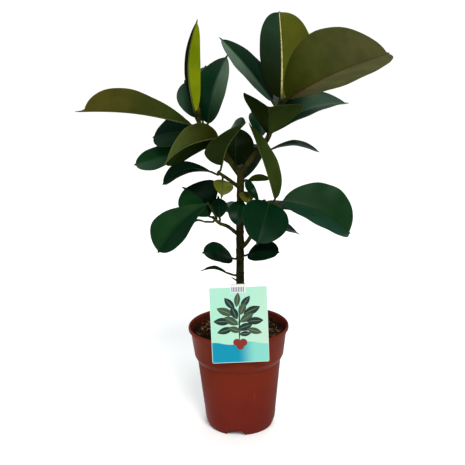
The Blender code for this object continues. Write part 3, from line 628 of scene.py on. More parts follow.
def printed_card():
    """The card's face: mint above, blue and aqua below, a leafy sprig and a white margin."""
    finish, tree, shader = new_material("Printed card", Specular_IOR_Level=0.05)
    where = node(tree, "ShaderNodeUVMap", {"uv_map": "Print"}).outputs[0]
    parts = node(tree, "ShaderNodeSeparateXYZ", None, Vector=where).outputs
    group = printed_shape_group()
    glow = calc(tree, "ADD", calc(tree, "MULTIPLY", parts["X"], 0.08),
                calc(tree, "MULTIPLY", parts["Y"], -0.05))
    colour = mix(tree, span(tree, glow, -0.3, 0.4), srgb(150, 198, 176), srgb(166, 199, 178))
    wave = calc(tree, "MULTIPLY", calc(tree, "SINE", calc(tree, "MULTIPLY", parts["X"], 1.1)),
                0.22)
    shore = calc(tree, "SUBTRACT", calc(tree, "ADD", parts["Y"], 3.1), wave)
    water = span(tree, shore, 0.04, -0.04)
    sea = mix(tree, span(tree, parts["X"], -0.5, 2.6), srgb(1, 126, 152), srgb(116, 186, 173))
    colour = mix(tree, water, colour, sea)
    for x, y, turn, half_long, half_wide in TWIGS:
        mask = shape_mask(tree, group, where, x, y, turn, half_long, half_wide)
        colour = mix(tree, mask, colour, srgb(44, 50, 34))
    for x, y, turn, half_long, half_wide, tone in SPRIG:
        mask = shape_mask(tree, group, where, x, y, turn, half_long, half_wide)
        colour = mix(tree, mask, colour, INK[tone])
        vein = shape_mask(tree, group, where, x, y, turn, half_long * 0.86, 0.07)
        colour = mix(tree, calc(tree, "MULTIPLY", vein, 0.4), colour, srgb(128, 146, 122))
    for x, y, size in BERRIES:
        spot = node(tree, "ShaderNodeVectorMath", {"operation": "DISTANCE"})
        wire(tree, spot.inputs[0], where)
        wire(tree, spot.inputs[1], (x, y, 0.0))
        round_mask = span(tree, spot.outputs["Value"], size + 0.03, size - 0.03)
        colour = mix(tree, round_mask, colour, srgb(116, 40, 32))
    half_width, half_height = CARD_WIDTH / 20, (CARD_TOP - CARD_BOTTOM) / 20
    side = calc(tree, "SUBTRACT", half_width, calc(tree, "ABSOLUTE", parts["X"]))
    end = calc(tree, "SUBTRACT", half_height, calc(tree, "ABSOLUTE", parts["Y"]))
    rim = span(tree, calc(tree, "MINIMUM", side, end), 0.09, 0.06)
    colour = mix(tree, rim, colour, srgb(190, 206, 200))
    tab = calc(tree, "MULTIPLY",
               span(tree, calc(tree, "ABSOLUTE", parts["X"]), 1.26, 1.2),
               span(tree, parts["Y"], half_height - 0.98, half_height - 0.92))
    colour = mix(tree, tab, colour, srgb(196, 200, 200))
    stripes = calc(tree, "SINE", calc(tree, "MULTIPLY", parts["X"], 24.0))
    bars = calc(tree, "MULTIPLY", span(tree, stripes, -0.1, 0.3),
                span(tree, calc(tree, "ABSOLUTE", parts["X"]), 1.06, 1.0))
    bars = calc(tree, "MULTIPLY", bars,
                span(tree, parts["Y"], half_height - 0.84, half_height - 0.78))
    colour = mix(tree, bars, colour, srgb(70, 68, 78))
    fleck = speckle(tree, where, 8.0, 6.0)
    colour = mix(tree, span(tree, fleck, 0.4, 0.8, 0.0, 0.1), colour, srgb(120, 140, 140))
    wire(tree, shader.inputs["Base Color"], colour)
    wire(tree, shader.inputs["Roughness"], span(tree, fleck, 0.3, 0.8, 0.3, 0.45))
    return finish


def bare_sheet():
    """The unprinted back and leg: milky plastic with a little soil rubbed on low down."""
    finish, tree, shader = new_material("Bare label plastic", Roughness=0.42,
                                        Specular_IOR_Level=0.1)
    where = object_place(tree)
    height = node(tree, "ShaderNodeSeparateXYZ", None, Vector=where).outputs["Z"]
    smear = speckle(tree, where, 150.0, 5.0)
    dirty = calc(tree, "MULTIPLY", span(tree, height, 196 * MM, 168 * MM),
                 span(tree, smear, 0.42, 0.62))
    colour = mix(tree, dirty, srgb(200, 204, 200), srgb(80, 60, 42))
    wire(tree, shader.inputs["Base Color"], colour)
    wire(tree, shader.inputs["Normal"], bump(tree, smear, 0.05, 0.3 * MM))
    return finish


label_finishes = [printed_card(), bare_sheet()]
card = as_object("label_card_flat", with_card_map(card_sheet()), label_finishes)
leg = as_object("label_leg_flat", with_card_map(leg_sheet()), label_finishes)
label_bm = bmesh.new()
label_bm.from_mesh(thickened(card, CARD_THICKNESS))
label_bm.from_mesh(thickened(leg, CARD_THICKNESS))
label = as_object("label_sheet", label_bm, label_finishes, 30.0)
finish_piece(label, "label", "label")


# The stem.  One young woody trunk that forks into two branches, with three short twigs: dark
# olive bark, ringed by the scars of shed leaves and bud sheaths, and knotted where the old
# leaf stalks sat.  Two dried stumps of such stalks are left low down.

Stem = namedtuple("Stem", "points radius_root radius_tip")
STEMS = {
    "trunk": Stem([(0, 0, 118.5), (0, 0, 176), (4, 1, 240), (6, 0, 342), (8, 2, 400),
                   (9, 0, 447)], 7.6, 6.0),
    "right": Stem([(9, 0, 440), (32, -4, 472), (52, -6, 496), (66, -6, 532),
                   (76, -8, 562)], 5.0, 3.6),
    "left": Stem([(8, 0, 438), (-20, -8, 481), (-41, -12, 504), (-54, -14, 522),
                  (-55, -16, 544)], 5.0, 3.4),
    "upper_twig": Stem([(4, -3, 420), (-14, -14, 437), (-28, -22, 449)], 3.4, 2.6),
    "left_twig": Stem([(2, -4, 340), (-14, -14, 356), (-27, -22, 364),
                       (-38, -26, 376)], 3.4, 2.6),
    "right_twig": Stem([(10, -4, 318), (20, -18, 334), (40, -30, 372),
                        (58, -34, 402)], 3.8, 2.8),
}
SCAR_SWELL = 0.09
TOUCH_GAP = 0.3
SCAR_SPACING = 11.0
SCAR_HALF = 1.1
TWIG_SCARS = 0.8         # scars stand closer on the branches, by this share
STEM_STEP = 1.5          # spacing of the points along a stem
STEM_SIDES = 20
KNOTS = 26
KNOTS_START = 0.2        # the lowest and highest old knot, as shares of the trunk
KNOTS_END = 0.93
KNOT_RADIUS = 2.3
KNOT_TURN = 137.5
STUB_ROOTS = ((262, 185), (271, 150))
STUB_RISE = 25.0
STUB_LENGTH = 11.0
STUB_RADIUS = 1.6
BARK_VOXEL = 0.8


def on_curve(points, share):
    """The point at a share of the way along a smooth curve through the points."""
    knots = [Vector(p) for p in points]
    spans = len(knots) - 1
    place = min(max(share, 0.0), 1.0) * spans
    i = min(int(place), spans - 1)
    f = place - i
    p1, p2 = knots[i], knots[i + 1]
    p0 = knots[i - 1] if i > 0 else 2 * p1 - p2
    p3 = knots[i + 2] if i + 2 <= spans else 2 * p2 - p1
    cubic = (3 * p1 - p0 - 3 * p2 + p3) * f ** 3
    square = (2 * p0 - 5 * p1 + 4 * p2 - p3) * f ** 2
    return 0.5 * (2 * p1 + (p2 - p0) * f + square + cubic)


def along_stem(stem, share):
    """The way a stem grows at a share of its length."""
    ahead = on_curve(stem.points, min(share + 0.01, 1.0))
    behind = on_curve(stem.points, max(share - 0.01, 0.0))
    return (ahead - behind).normalized()


def stem_radius(stem, share):
    return stem.radius_root + (stem.radius_tip - stem.radius_root) * share


def pointing(heading, rise):
    """The unit vector at a compass heading and an angle above the horizontal."""
    h, r = math.radians(heading), math.radians(rise)
    return Vector((math.cos(r) * math.cos(h), math.cos(r) * math.sin(h), math.sin(r)))


def tube(points, radii, sides):
    """A capped tube through points in millimetres, with a radius at each, as a mesh."""
    curve = bpy.data.curves.new("tube", "CURVE")
    curve.dimensions = "3D"
    curve.bevel_depth = 1.0
    curve.bevel_resolution = sides // 2 - 2
    curve.use_fill_caps = True
    spline = curve.splines.new("POLY")
    spline.points.add(len(points) - 1)
    for knot, point, radius in zip(spline.points, points, radii):
        knot.co = (*(Vector(point) * MM), 1.0)
        knot.radius = radius * MM
    return applied_mesh(in_scene("tube", curve))


def stem_tube(name, rings):
    """One stem with its scar rings; the rings' places are added to the list."""
    stem = STEMS[name]
    knots = [Vector(p) for p in stem.points]
    length = sum((b - a).length for a, b in zip(knots, knots[1:]))
    steps = round(length / STEM_STEP)
    spacing = SCAR_SPACING if name == "trunk" else SCAR_SPACING * TWIG_SCARS
    points, radii = [], []
    for i in range(steps + 1):
        share = i / steps
        place = share * length
        ring = round(place / spacing)
        drift = 0.22 * math.sin(ring * 2.7 + len(name))
        off = abs(place - (ring + drift) * spacing)
        swell = SCAR_SWELL * math.exp(-(off / SCAR_HALF) ** 2)
        if off < 0.75 and 0 < share < 1:
            rings.append(on_curve(stem.points, share))
        points.append(on_curve(stem.points, share))
        radii.append(stem_radius(stem, share) * (0.97 + swell))
    return tube(points, radii, STEM_SIDES)


def knot(bm, centre, out, size):
    """A low round knot on the bark, longer across the stem than along it."""
    made = bmesh.ops.create_uvsphere(bm, u_segments=10, v_segments=6, radius=size * MM)
    turn = out.to_track_quat("Z", "Y").to_matrix()
    shape = Matrix.Diagonal((1.25, 1.0, 0.75))
    bmesh.ops.transform(bm, verts=made["verts"], matrix=(turn @ shape).to_4x4())
    bmesh.ops.translate(bm, verts=made["verts"], vec=centre * MM)


def old_knots(bm, rings):
    """Scars of shed leaves, going round the trunk from ring to ring."""
    trunk = STEMS["trunk"]
    for i in range(KNOTS):
        share = KNOTS_START + (KNOTS_END - KNOTS_START) * i / KNOTS
        out = pointing(KNOT_TURN * i, 0)
        centre = on_curve(trunk.points, share) + out * (stem_radius(trunk, share) - 0.6)
        knot(bm, centre, out, KNOT_RADIUS)
        rings.append(centre)


def stub_tube(height, heading):
    """The dried stump of an old leaf stalk, low on the trunk."""
    trunk = STEMS["trunk"]
    base, top = trunk.points[1], trunk.points[3]
    share = (1 + 2 * (height - base[2]) / (top[2] - base[2])) / (len(trunk.points) - 1)
    root = on_curve(trunk.points, share)
    out = pointing(heading, STUB_RISE)
    tip = root + out * (trunk.radius_root + STUB_LENGTH)
    middle = root.lerp(tip, 0.6)
    return tube([root, middle, tip], [STUB_RADIUS * 1.3, STUB_RADIUS, STUB_RADIUS * 0.6], 8)


def bark():
    """Dark olive bark, paler on the twigs, with pale pores and lighter, rougher scars."""
    finish, tree, shader = new_material("Young bark", Specular_IOR_Level=0.02)
    where = object_place(tree)
    scar = node(tree, "ShaderNodeAttribute", {"attribute_name": "scar"}).outputs["Fac"]
    young = node(tree, "ShaderNodeAttribute", {"attribute_name": "young"}).outputs["Fac"]
    grain = speckle(tree, where, 130.0, 6.0, (1.0, 1.0, 0.3))
    fine = speckle(tree, where, 600.0, 4.0)
    old_bark = mix(tree, span(tree, grain, 0.35, 0.7), srgb(9, 11, 3), srgb(36, 37, 14))
    twig = mix(tree, span(tree, grain, 0.35, 0.7), srgb(24, 30, 5), srgb(52, 58, 20))
    colour = mix(tree, young, old_bark, twig)
    pores = node(tree, "ShaderNodeTexVoronoi", None, Vector=where, Scale=380.0)
    pore = span(tree, pores.outputs["Distance"], 0.26, 0.12)
    colour = mix(tree, calc(tree, "MULTIPLY", pore, 0.25), colour, srgb(84, 78, 44))
    scarred = calc(tree, "MULTIPLY", scar, span(tree, fine, 0.3, 0.6))
    colour = mix(tree, calc(tree, "MULTIPLY", scarred, 0.4), colour, srgb(60, 54, 24))
    wire(tree, shader.inputs["Base Color"], colour)
    wire(tree, shader.inputs["Roughness"], span(tree, grain, 0.3, 0.7, 0.6, 0.85))
    height = calc(tree, "ADD", grain, calc(tree, "MULTIPLY", fine, 0.5))
    wire(tree, shader.inputs["Normal"], bump(tree, height, 0.5, 0.6 * MM))
    return finish


def remeshed(bm, name):
    """Melt overlapping forms into one skin, and smooth its joins a little."""
    thing = as_object(name, bm, [])
    melt = thing.modifiers.new("Melt", "REMESH")
    melt.mode = "VOXEL"
    melt.voxel_size = BARK_VOXEL * MM
    soften = thing.modifiers.new("Soften", "SMOOTH")
    soften.factor = 0.5
    soften.iterations = 3
    return applied_mesh(thing)


def nearest(points):
    tree = kdtree.KDTree(len(points))
    for i, point in enumerate(points):
        tree.insert(point, i)
    tree.balance()
    return tree


def roughened(mesh, rings):
    """Roughen the bark, and mark on it where the scars and the young twigs are."""
    scar_tree = nearest(rings)
    trunk_tree = nearest([on_curve(STEMS["trunk"].points, i / 80) for i in range(81)])
    twig_tree = nearest([on_curve(STEMS[n].points, 0.15 + 0.85 * i / 30)
                         for n in STEMS if n != "trunk" for i in range(31)])
    bm = bmesh.new()
    bm.from_mesh(mesh)
    scar = bm.verts.layers.float.new("scar")
    young = bm.verts.layers.float.new("young")
    bm.normal_update()
    for vert in bm.verts:
        spot = vert.co / MM
        close = scar_tree.find(spot)[2]
        vert[scar] = math.exp(-(max(close - 6.0, 0.0) / 2.0) ** 2)
        to_trunk, to_twig = trunk_tree.find(spot)[2], twig_tree.find(spot)[2]
        vert[young] = min(max((to_trunk - to_twig) / 16.0 + 0.3, 0.0), 1.0)
        ridges = noise.fractal(Vector((spot.x, spot.y, spot.z * 0.35)) * 0.32, 1.0, 2.0, 4)
        vert.co += vert.normal * (0.32 * ridges * (1.0 - 0.6 * vert[young])) * MM
    bm.to_mesh(mesh)
    bm.free()
    return mesh


# The leaves.  Thick, waxy, oval blades: dark green and glossy above, olive and duller below,
# each folded along a stout pale midrib that runs on into its stalk.

Leaf = namedtuple("Leaf", "at heading rise length width roll fold bow sway peak blunt "
                  "drip stalk stalk_heading stalk_lift")


def leaf(at, heading, rise, length, width, roll=0, fold=14, bow=6, sway=0, peak=0.52,
         blunt=0.6, drip=6, stalk=12, stalk_heading=None, stalk_lift=12):
    """One leaf: where it sits, as a share of its stem, and the blade's way, size and form.

    The stalk follows the blade's heading unless it is given a heading of its own.
    """
    if stalk_heading is None:
        stalk_heading = heading
    return Leaf(at, heading, rise, length, width, roll, fold, bow, sway, peak, blunt,
                drip, stalk, stalk_heading, stalk_lift)


LEAVES = {
    "right": [
        leaf(0.95, -48, 22, 216, 138, roll=-42, fold=35, bow=0, sway=8, blunt=0.52,
             drip=4, stalk=14, stalk_lift=10),
        leaf(0.97, -110, 86, 134, 98, fold=28, bow=8, blunt=0.38, drip=2, stalk=10,
             stalk_heading=-80, stalk_lift=-52),
        leaf(0.88, 160, 49, 132, 70, roll=-12, fold=12, bow=4, stalk=10, stalk_lift=0),
        leaf(0.52, 14, 17, 138, 92, roll=14, fold=22, bow=15, stalk=10, stalk_heading=40,
             stalk_lift=30),
        leaf(0.55, -92, 34, 104, 108, roll=-14, fold=30, peak=0.62, drip=3,
             stalk_lift=-20),
        leaf(0.32, 2, -5, 80, 28, roll=10, fold=10, bow=12, peak=0.66, blunt=0.45, drip=3,
             stalk=16, stalk_lift=20),
        leaf(0.46, 115, 45, 52, 32, blunt=0.5, stalk=8),
        leaf(0.78, 70, 22, 184, 76, roll=-10, stalk=14),
    ],
    "left": [
        leaf(0.97, -20, 86, 142, 52, roll=-85, fold=60, sway=14, peak=0.46, stalk=12,
             stalk_heading=245, stalk_lift=-56),
        leaf(0.62, 20, 71, 113, 66, roll=40, fold=28, bow=12, peak=0.48,
             stalk_heading=55, stalk_lift=-20),
        leaf(0.82, 118, 57, 67, 45, roll=-20, stalk=10, stalk_lift=-20),
        leaf(0.76, 206, 11, 188, 80, roll=36, fold=38, bow=9, peak=0.7, blunt=0.36,
             drip=14, stalk=14, stalk_lift=10),
        leaf(0.60, 160, -8, 74, 66, roll=-40, fold=10, blunt=0.5, drip=3, stalk=14),
        leaf(0.34, 180, -15, 86, 50, roll=-35, fold=8, bow=0, peak=0.6, blunt=0.5, drip=3,
             stalk=48, stalk_heading=174, stalk_lift=8),
        leaf(0.40, 226, -12, 120, 80, roll=58, fold=10, bow=12, peak=0.5, drip=10,
             stalk_heading=-60, stalk_lift=45),
        leaf(0.68, 88, 30, 150, 60, roll=-10, stalk=14),
        leaf(0.40, 128, -4, 100, 60),
    ],
    "upper_twig": [
        leaf(0.97, -60, 45, 110, 84, roll=30, fold=30, sway=5, drip=3, stalk=14,
             stalk_lift=10),
        leaf(0.84, 190, -12, 80, 34, roll=-30, fold=20, bow=16, sway=4, peak=0.66,
             blunt=0.42, drip=2, stalk=14, stalk_lift=34),
        leaf(0.70, -95, -40, 38, 34, roll=-20, stalk=8),
    ],
    "left_twig": [
        leaf(0.97, 160, 45, 66, 84, roll=-35, fold=8, sway=6, peak=0.6, stalk=10,
             stalk_heading=120, stalk_lift=-50),
        leaf(0.90, 210, -36, 114, 74, roll=-25, fold=20, sway=7, peak=0.7, blunt=0.5,
             drip=3, stalk=36, stalk_heading=236, stalk_lift=92),
        leaf(0.70, 95, 60, 38, 28, stalk=5),
        leaf(0.86, 188, -14, 26, 9, drip=4, stalk=14),
    ],
    "right_twig": [
        leaf(0.97, 180, 72, 130, 58, roll=25, fold=25, bow=0, sway=-6, peak=0.46,
             stalk=8, stalk_heading=5, stalk_lift=-20),
        leaf(0.94, -3, -27, 122, 106, roll=35, fold=30, bow=7, sway=-6, peak=0.57,
             blunt=0.36, drip=3, stalk=18, stalk_lift=46),
        leaf(0.97, -112, -42, 80, 78, roll=-30, fold=15, peak=0.46, blunt=0.44, drip=5,
             stalk=7, stalk_lift=50),
        leaf(0.80, 25, -12, 52, 30, fold=20, stalk=8),
        leaf(0.88, 125, -10, 26, 20, drip=4, stalk=6),
        leaf(0.50, 24, -20, 74, 36, roll=20, stalk_lift=50),
    ],
    "trunk": [
        leaf(0.98, 76, 74, 66, 66, blunt=0.5, stalk_heading=120, stalk_lift=-30),
        leaf(0.97, 30, 52, 50, 46, roll=12, bow=0, sway=-3, peak=0.58, stalk=5,
             stalk_lift=-20),
        leaf(0.92, -8, 2, 42, 24, roll=-40, fold=8, bow=4, stalk=5, stalk_lift=0),
        leaf(0.88, 78, 22, 112, 52),
        leaf(0.93, -40, -50, 46, 20, roll=10, fold=25, sway=10, peak=0.45, stalk=5,
             stalk_lift=60),
        leaf(0.85, -70, -45, 30, 26, stalk=6, stalk_lift=50),
        leaf(0.78, -98, -50, 46, 32, blunt=0.5, drip=3, stalk=8, stalk_lift=70),
        leaf(0.68, 165, 12, 30, 26, stalk=6, stalk_lift=0),
        leaf(0.70, 118, -12, 110, 56),
        leaf(0.64, 44, 2, 120, 60, stalk=14),
        leaf(0.52, -28, 10, 58, 44, roll=34, fold=8, blunt=0.42, drip=2, stalk=8,
             stalk_lift=10),
        leaf(0.51, 208, 18, 58, 46, roll=-34, fold=8, blunt=0.45, drip=3, stalk=8,
             stalk_lift=0),
        leaf(0.455, 175, 4, 46, 28, roll=26, stalk=14),
    ],
}

# Among the leaf tones, the darkest olive, shade, is painted shade on halves turned from the
# light, the bright lime is painted light on a lit half, and the pale grey-green is a painted
# sheen along glossy strips.
TONES = {
    "deep": srgb(4, 32, 14), "ink": srgb(1, 18, 7), "bottle": srgb(11, 42, 16),
    "sea": srgb(22, 52, 37), "jade": srgb(33, 55, 39), "painted_sheen": srgb(76, 96, 78),
    "moss": srgb(29, 40, 14), "shade": srgb(14, 24, 4), "fern": srgb(44, 56, 20),
    "olive": srgb(50, 56, 12), "gold": srgb(72, 76, 20), "earth": srgb(66, 66, 36),
    "umber": srgb(64, 59, 20), "ash": srgb(78, 78, 48), "lit_lime": srgb(110, 124, 10),
    "cream": srgb(196, 190, 122), "straw": srgb(76, 86, 42), "rust": srgb(72, 48, 14),
    "faint": srgb(22, 46, 22), "stalk": srgb(42, 48, 14),
}

Look = namedtuple("Look", "upper under rib width")


def look(upper=("deep", "deep"), under=("moss", "moss"), rib="faint", width=0.8):
    """A leaf's tones: left and right half of each face, and then the same at its tip. Where
    the halves differ, the tones mix the leaf's own colour with painted light on the half that
    faces the light and painted shade on the half turned away.
    """
    return Look(upper * (4 // len(upper)), under * (4 // len(under)), rib, width)


LOOKS = {
    "right_1": look(under=("ash", "olive", "ash", "earth"), rib="rust", width=1.2),
    "right_2": look(under=("gold", "shade", "gold", "jade"), rib="cream", width=3.0),
    "right_3": look(upper=("jade", "ink", "painted_sheen", "deep")),
    "right_4": look(upper=("jade", "deep", "jade", "jade")),
    "right_5": look(under=("fern", "moss", "moss", "shade"), rib="stalk", width=1.1),
    "left_1": look(under=("lit_lime", "shade"), rib="straw", width=1.2),
    "left_2": look(upper=("deep", "deep", "deep", "painted_sheen")),
    "left_3": look(upper=("jade", "deep")),
    "left_4": look(under=("fern", "earth", "umber", "umber"), rib="ash", width=0.9),
    "left_5": look(upper=("ink", "ink", "deep", "ink")),
    "left_6": look(upper=("deep", "deep", "jade", "bottle")),
    "left_7": look(under=("olive", "shade", "straw", "moss"), rib="straw", width=1.1),
    "upper_twig_1": look(rib="straw"),
    "upper_twig_2": look(upper=("ink", "ink")),
    "upper_twig_3": look(upper=("gold", "gold")),
    "left_twig_1": look(upper=("bottle", "ink")),
    "left_twig_2": look(upper=("deep", "bottle")),
    "right_twig_1": look(under=("fern", "olive"), rib="straw"),
    "right_twig_2": look(upper=("bottle", "sea")),
    "trunk_1": look(upper=("shade", "shade")),
    "trunk_3": look(under=("olive", "olive")),
    "trunk_6": look(upper=("gold", "gold")),
    "trunk_11": look(upper=("ink", "deep")),
    "trunk_12": look(upper=("ink", "deep")),
}

ACROSS = 22
ALONG = 40
TIP_ROWS = 4
COLUMN_EASE = 1.35       # columns stand closer at the midrib
BLADE_THICKNESS = 0.8
STALK_RADIUS = 1.8
STALK_START = 2.4
RIB_POINTS = 16
RIB_END = 0.97
BASE_HALF_WIDTH = 1.6
TIP_HALF_WIDTH = 2.0
TIP_ROUND = 0.4
KEEL_ROUND = 0.1
EDGE_CURL = -0.05
EDGE_WAVE = 0.022
WAVE_STEP = 1.7          # how far one leaf's wave is shifted from the last one's
TONE_CHANGE = 5.0        # the width over which the tone changes at the midrib
LeafFrame = namedtuple("LeafFrame", "root out base along up side")


def leaf_frame(stem, blade):
    """Where a leaf's stalk starts, where its blade starts, and the blade's own axes."""
    grows = along_stem(stem, blade.at)
    way = pointing(blade.stalk_heading, blade.rise + blade.stalk_lift)
    out = (way - grows * way.dot(grows)).normalized()
    reach = stem_radius(stem, blade.at) * (1 + SCAR_SWELL) + TOUCH_GAP
    root = on_curve(stem.points, blade.at) + out * reach
    along = pointing(blade.heading, blade.rise)
    level = (Vector((0, 0, 1)) - along * along.z).normalized()
    across = along.cross(level)
    roll = math.radians(blade.roll)
    up = level * math.cos(roll) + across * math.sin(roll)
    side = across * math.cos(roll) - level * math.sin(roll)
    return LeafFrame(root, out, root + way * blade.stalk, along, up, side)


def half_width(blade, share):
    """Half the blade's width at a share of its length: an oval that ends in a drip tip."""
    body_end = 1.0 - blade.drip / blade.length
    skew = math.log(0.5) / math.log(blade.peak)
    oval = max(math.sin(math.pi * min(share / body_end, 1.0) ** skew), 0.0) ** blade.blunt
    body = blade.width / 2 * oval
    if share < 0.5:
        return max(body, BASE_HALF_WIDTH)
    drip = min((1.0 - share) * blade.length / blade.drip, 1.0)
    return max(body, TIP_HALF_WIDTH * drip + TIP_ROUND)


def blade_point(blade, where, across, share, phase):
    """A point of the blade: across runs from -1 to 1 and share from stalk to tip."""
    half = half_width(blade, share)
    fold = math.radians(blade.fold)
    keel = math.hypot(across, KEEL_ROUND) - KEEL_ROUND
    keel /= math.hypot(1.0, KEEL_ROUND) - KEEL_ROUND
    rise = half * (keel * math.sin(fold) + EDGE_CURL * across ** 2)
    wave = math.sin(9.0 * share + phase) + 0.6 * math.sin(21.0 * share + 2.3 * phase)
    rise += EDGE_WAVE * half * abs(across) ** 3 * wave
    bend = math.sin(math.pi * share)
    point = where.base + where.along * (blade.length * share)
    point += where.side * (across * half * math.cos(fold) + blade.sway * bend)
    return point + where.up * (rise + blade.bow * bend)


def row_share(blade, row):
    """The share of the blade's length at a row: closer rows at both ends of the oval."""
    body_end = 1.0 - blade.drip / blade.length
    body_rows = ALONG - TIP_ROWS
    if row <= body_rows:
        return body_end * (1 - math.cos(math.pi * row / body_rows)) / 2
    return body_end + (1.0 - body_end) * (row - body_rows) / TIP_ROWS


def between(first, second, share):
    return tuple(a + (b - a) * share for a, b in zip(first, second))


def blended(tones, side, share):
    """The tone at a place on a face, from its two tones at the stalk and two at the tip."""
    share = share * share * (3.0 - 2.0 * share)
    return between(between(tones[0], tones[1], side), between(tones[2], tones[3], side), share)


def blade_sheet(blade, where, finish, phase):
    """The blade as a sheet, with a true-size map and the tones of its two faces."""
    bm = bmesh.new()
    bmesh.ops.create_grid(bm, x_segments=ACROSS, y_segments=ALONG, size=1.0)
    over = bm.verts.layers.float_color.new("upper_tone")
    under = bm.verts.layers.float_color.new("under_tone")
    rib = bm.verts.layers.float_color.new("rib_tone")
    upper = [TONES[name] for name in finish.upper]
    lower = [TONES[name] for name in finish.under]
    spots = {}
    for vert in bm.verts:
        across = math.copysign(abs(vert.co.x) ** COLUMN_EASE, vert.co.x)
        share = row_share(blade, round((vert.co.y + 1.0) / 2.0 * ALONG))
        half = half_width(blade, share)
        spots[vert] = (across * half / 100, blade.length * share / 100, across, share)
        vert.co = blade_point(blade, where, across, share, phase) * MM
        # The two halves' tones meet at the midrib; where they differ they carry painted light
        # and painted shade.
        side = min(max(0.5 + across * half / TONE_CHANGE, 0.0), 1.0)
        vert[over] = blended(upper, side, share)
        vert[under] = blended(lower, side, share)
        vert[rib] = TONES[finish.rib]
    true_map = bm.loops.layers.uv.new("True size")
    share_map = bm.loops.layers.uv.new("Shares")
    for face in bm.faces:
        for loop in face.loops:
            spot = spots[loop.vert]
            loop[true_map].uv = (spot[0], spot[1])
            loop[share_map].uv = (abs(spot[2]), spot[3])
    return bm


def stalk_tube(blade, where, thick, phase):
    """The stalk, and the midrib that it becomes under the blade, as one tapering tube."""
    start = where.root + where.out * STALK_START
    ends = (where.root - where.out * 1.2, start, start.lerp(where.base, 0.5), where.base)
    points, radii = list(ends), [STALK_RADIUS * 1.12] + [STALK_RADIUS] * 3
    for i in range(1, RIB_POINTS + 1):
        share = RIB_END * i / RIB_POINTS
        radius = (1.45 - 1.1 * share ** 0.7) * (0.75 + 0.25 * thick)
        radius = min(radius, half_width(blade, share))
        points.append(blade_point(blade, where, 0.0, share, phase)
                      - where.up * (0.25 + 0.45 * radius))
        radii.append(radius)
    return tube(points, radii, 10)


def leaf_faces(tree, shader, tone_name, rib_share, gloss, vein_strength):
    """The look both faces share: blotches, fine side veins, the midrib and a pale edge."""
    where = object_place(tree)
    true_size = node(tree, "ShaderNodeUVMap", {"uv_map": "True size"}).outputs[0]
    shares = node(tree, "ShaderNodeUVMap", {"uv_map": "Shares"}).outputs[0]
    surface = node(tree, "ShaderNodeGroup", {"node_tree": LEAF_SURFACE}, Place=where,
                   True_size=true_size, Shares=shares, Rib_share=rib_share,
                   Vein_strength=vein_strength)
    tone = node(tree, "ShaderNodeAttribute", {"attribute_name": tone_name}).outputs["Color"]
    rib = node(tree, "ShaderNodeAttribute", {"attribute_name": "rib_tone"}).outputs["Color"]
    wire(tree, surface.inputs["Tone"], tone)
    wire(tree, surface.inputs["Rib tone"], rib)
    wire(tree, shader.inputs["Base Color"], surface.outputs["Colour"])
    rough = calc(tree, "ADD", surface.outputs["Uneven"], gloss)
    wire(tree, shader.inputs["Roughness"], rough)
    wire(tree, shader.inputs["Normal"], bump(tree, surface.outputs["Relief"], 0.35, 0.5 * MM))


def leaf_surface_group():
    """Colour, unevenness and relief of a leaf, from its place and its true-size map."""
    tree = new_group("Leaf surface",
                     {"Place": "Vector", "True size": "Vector", "Shares": "Vector",
                      "Tone": "Color", "Rib tone": "Color", "Rib share": "Float",
                      "Vein strength": "Float"},
                     {"Colour": "Color", "Uneven": "Float", "Relief": "Float"})
    given = node(tree, "NodeGroupInput").outputs
    true_size = node(tree, "ShaderNodeSeparateXYZ", None, Vector=given["True size"]).outputs
    shares = node(tree, "ShaderNodeSeparateXYZ", None, Vector=given["Shares"]).outputs
    aside = calc(tree, "ABSOLUTE", true_size["X"])
    warp = calc(tree, "MULTIPLY", speckle(tree, given["Place"], 24.0, 2.0), 0.03)
    run = calc(tree, "SUBTRACT", true_size["Y"], calc(tree, "MULTIPLY", aside, 0.42))
    wave = calc(tree, "SINE", calc(tree, "MULTIPLY", calc(tree, "ADD", run, warp), 140.0))
    fine = calc(tree, "SINE", calc(tree, "MULTIPLY", calc(tree, "ADD", run, warp), 420.0))
    veins = calc(tree, "ADD", span(tree, wave, 0.8, 1.0),
                 calc(tree, "MULTIPLY", span(tree, fine, 0.7, 1.0), 0.35))
    veins = calc(tree, "MULTIPLY", veins, span(tree, shares["X"], 0.99, 0.9))
    veins = calc(tree, "MULTIPLY", veins, given["Vein strength"])
    blotch = speckle(tree, given["Place"], 32.0, 3.0)
    cells = speckle(tree, given["Place"], 700.0, 3.0)
    dark = mix(tree, 1.0, given["Tone"], (0.82, 0.86, 0.82, 1.0), "MULTIPLY")
    light = mix(tree, 1.0, given["Tone"], (1.14, 1.12, 1.1, 1.0), "MULTIPLY")
    colour = mix(tree, span(tree, blotch, 0.3, 0.7), dark, light)
    veined = mix(tree, 0.35, light, given["Rib tone"])
    colour = mix(tree, calc(tree, "MULTIPLY", veins, 0.4), colour, veined)
    width = calc(tree, "MULTIPLY", given["Rib share"],
                 span(tree, shares["Y"], 1.0, 0.0, 0.003, 0.012))
    rib = span(tree, calc(tree, "DIVIDE", aside, width), 1.15, 0.75)
    colour = mix(tree, calc(tree, "MULTIPLY", rib, 0.8), colour, given["Rib tone"])
    margin = span(tree, shares["X"], 0.975, 0.995)
    edge = mix(tree, 0.5, light, TONES["straw"])
    colour = mix(tree, calc(tree, "MULTIPLY", margin, 0.3), colour, edge)
    shown = node(tree, "NodeGroupOutput")
    wire(tree, shown.inputs["Colour"], colour)
    wire(tree, shown.inputs["Uneven"], span(tree, blotch, 0.3, 0.7, 0.0, 0.1))
    relief = calc(tree, "ADD", calc(tree, "MULTIPLY", veins, -0.6),
                  calc(tree, "MULTIPLY", cells, 0.25))
    wire(tree, shown.inputs["Relief"], relief)
    return tree


LEAF_SURFACE = leaf_surface_group()


def waxy_upper():
    """The smooth, waxy upper face, which takes a soft shine."""
    finish, tree, shader = new_material("Leaf upper face", Specular_IOR_Level=0.035)
    leaf_faces(tree, shader, "upper_tone", 0.8, 0.26, 0.14)
    return finish


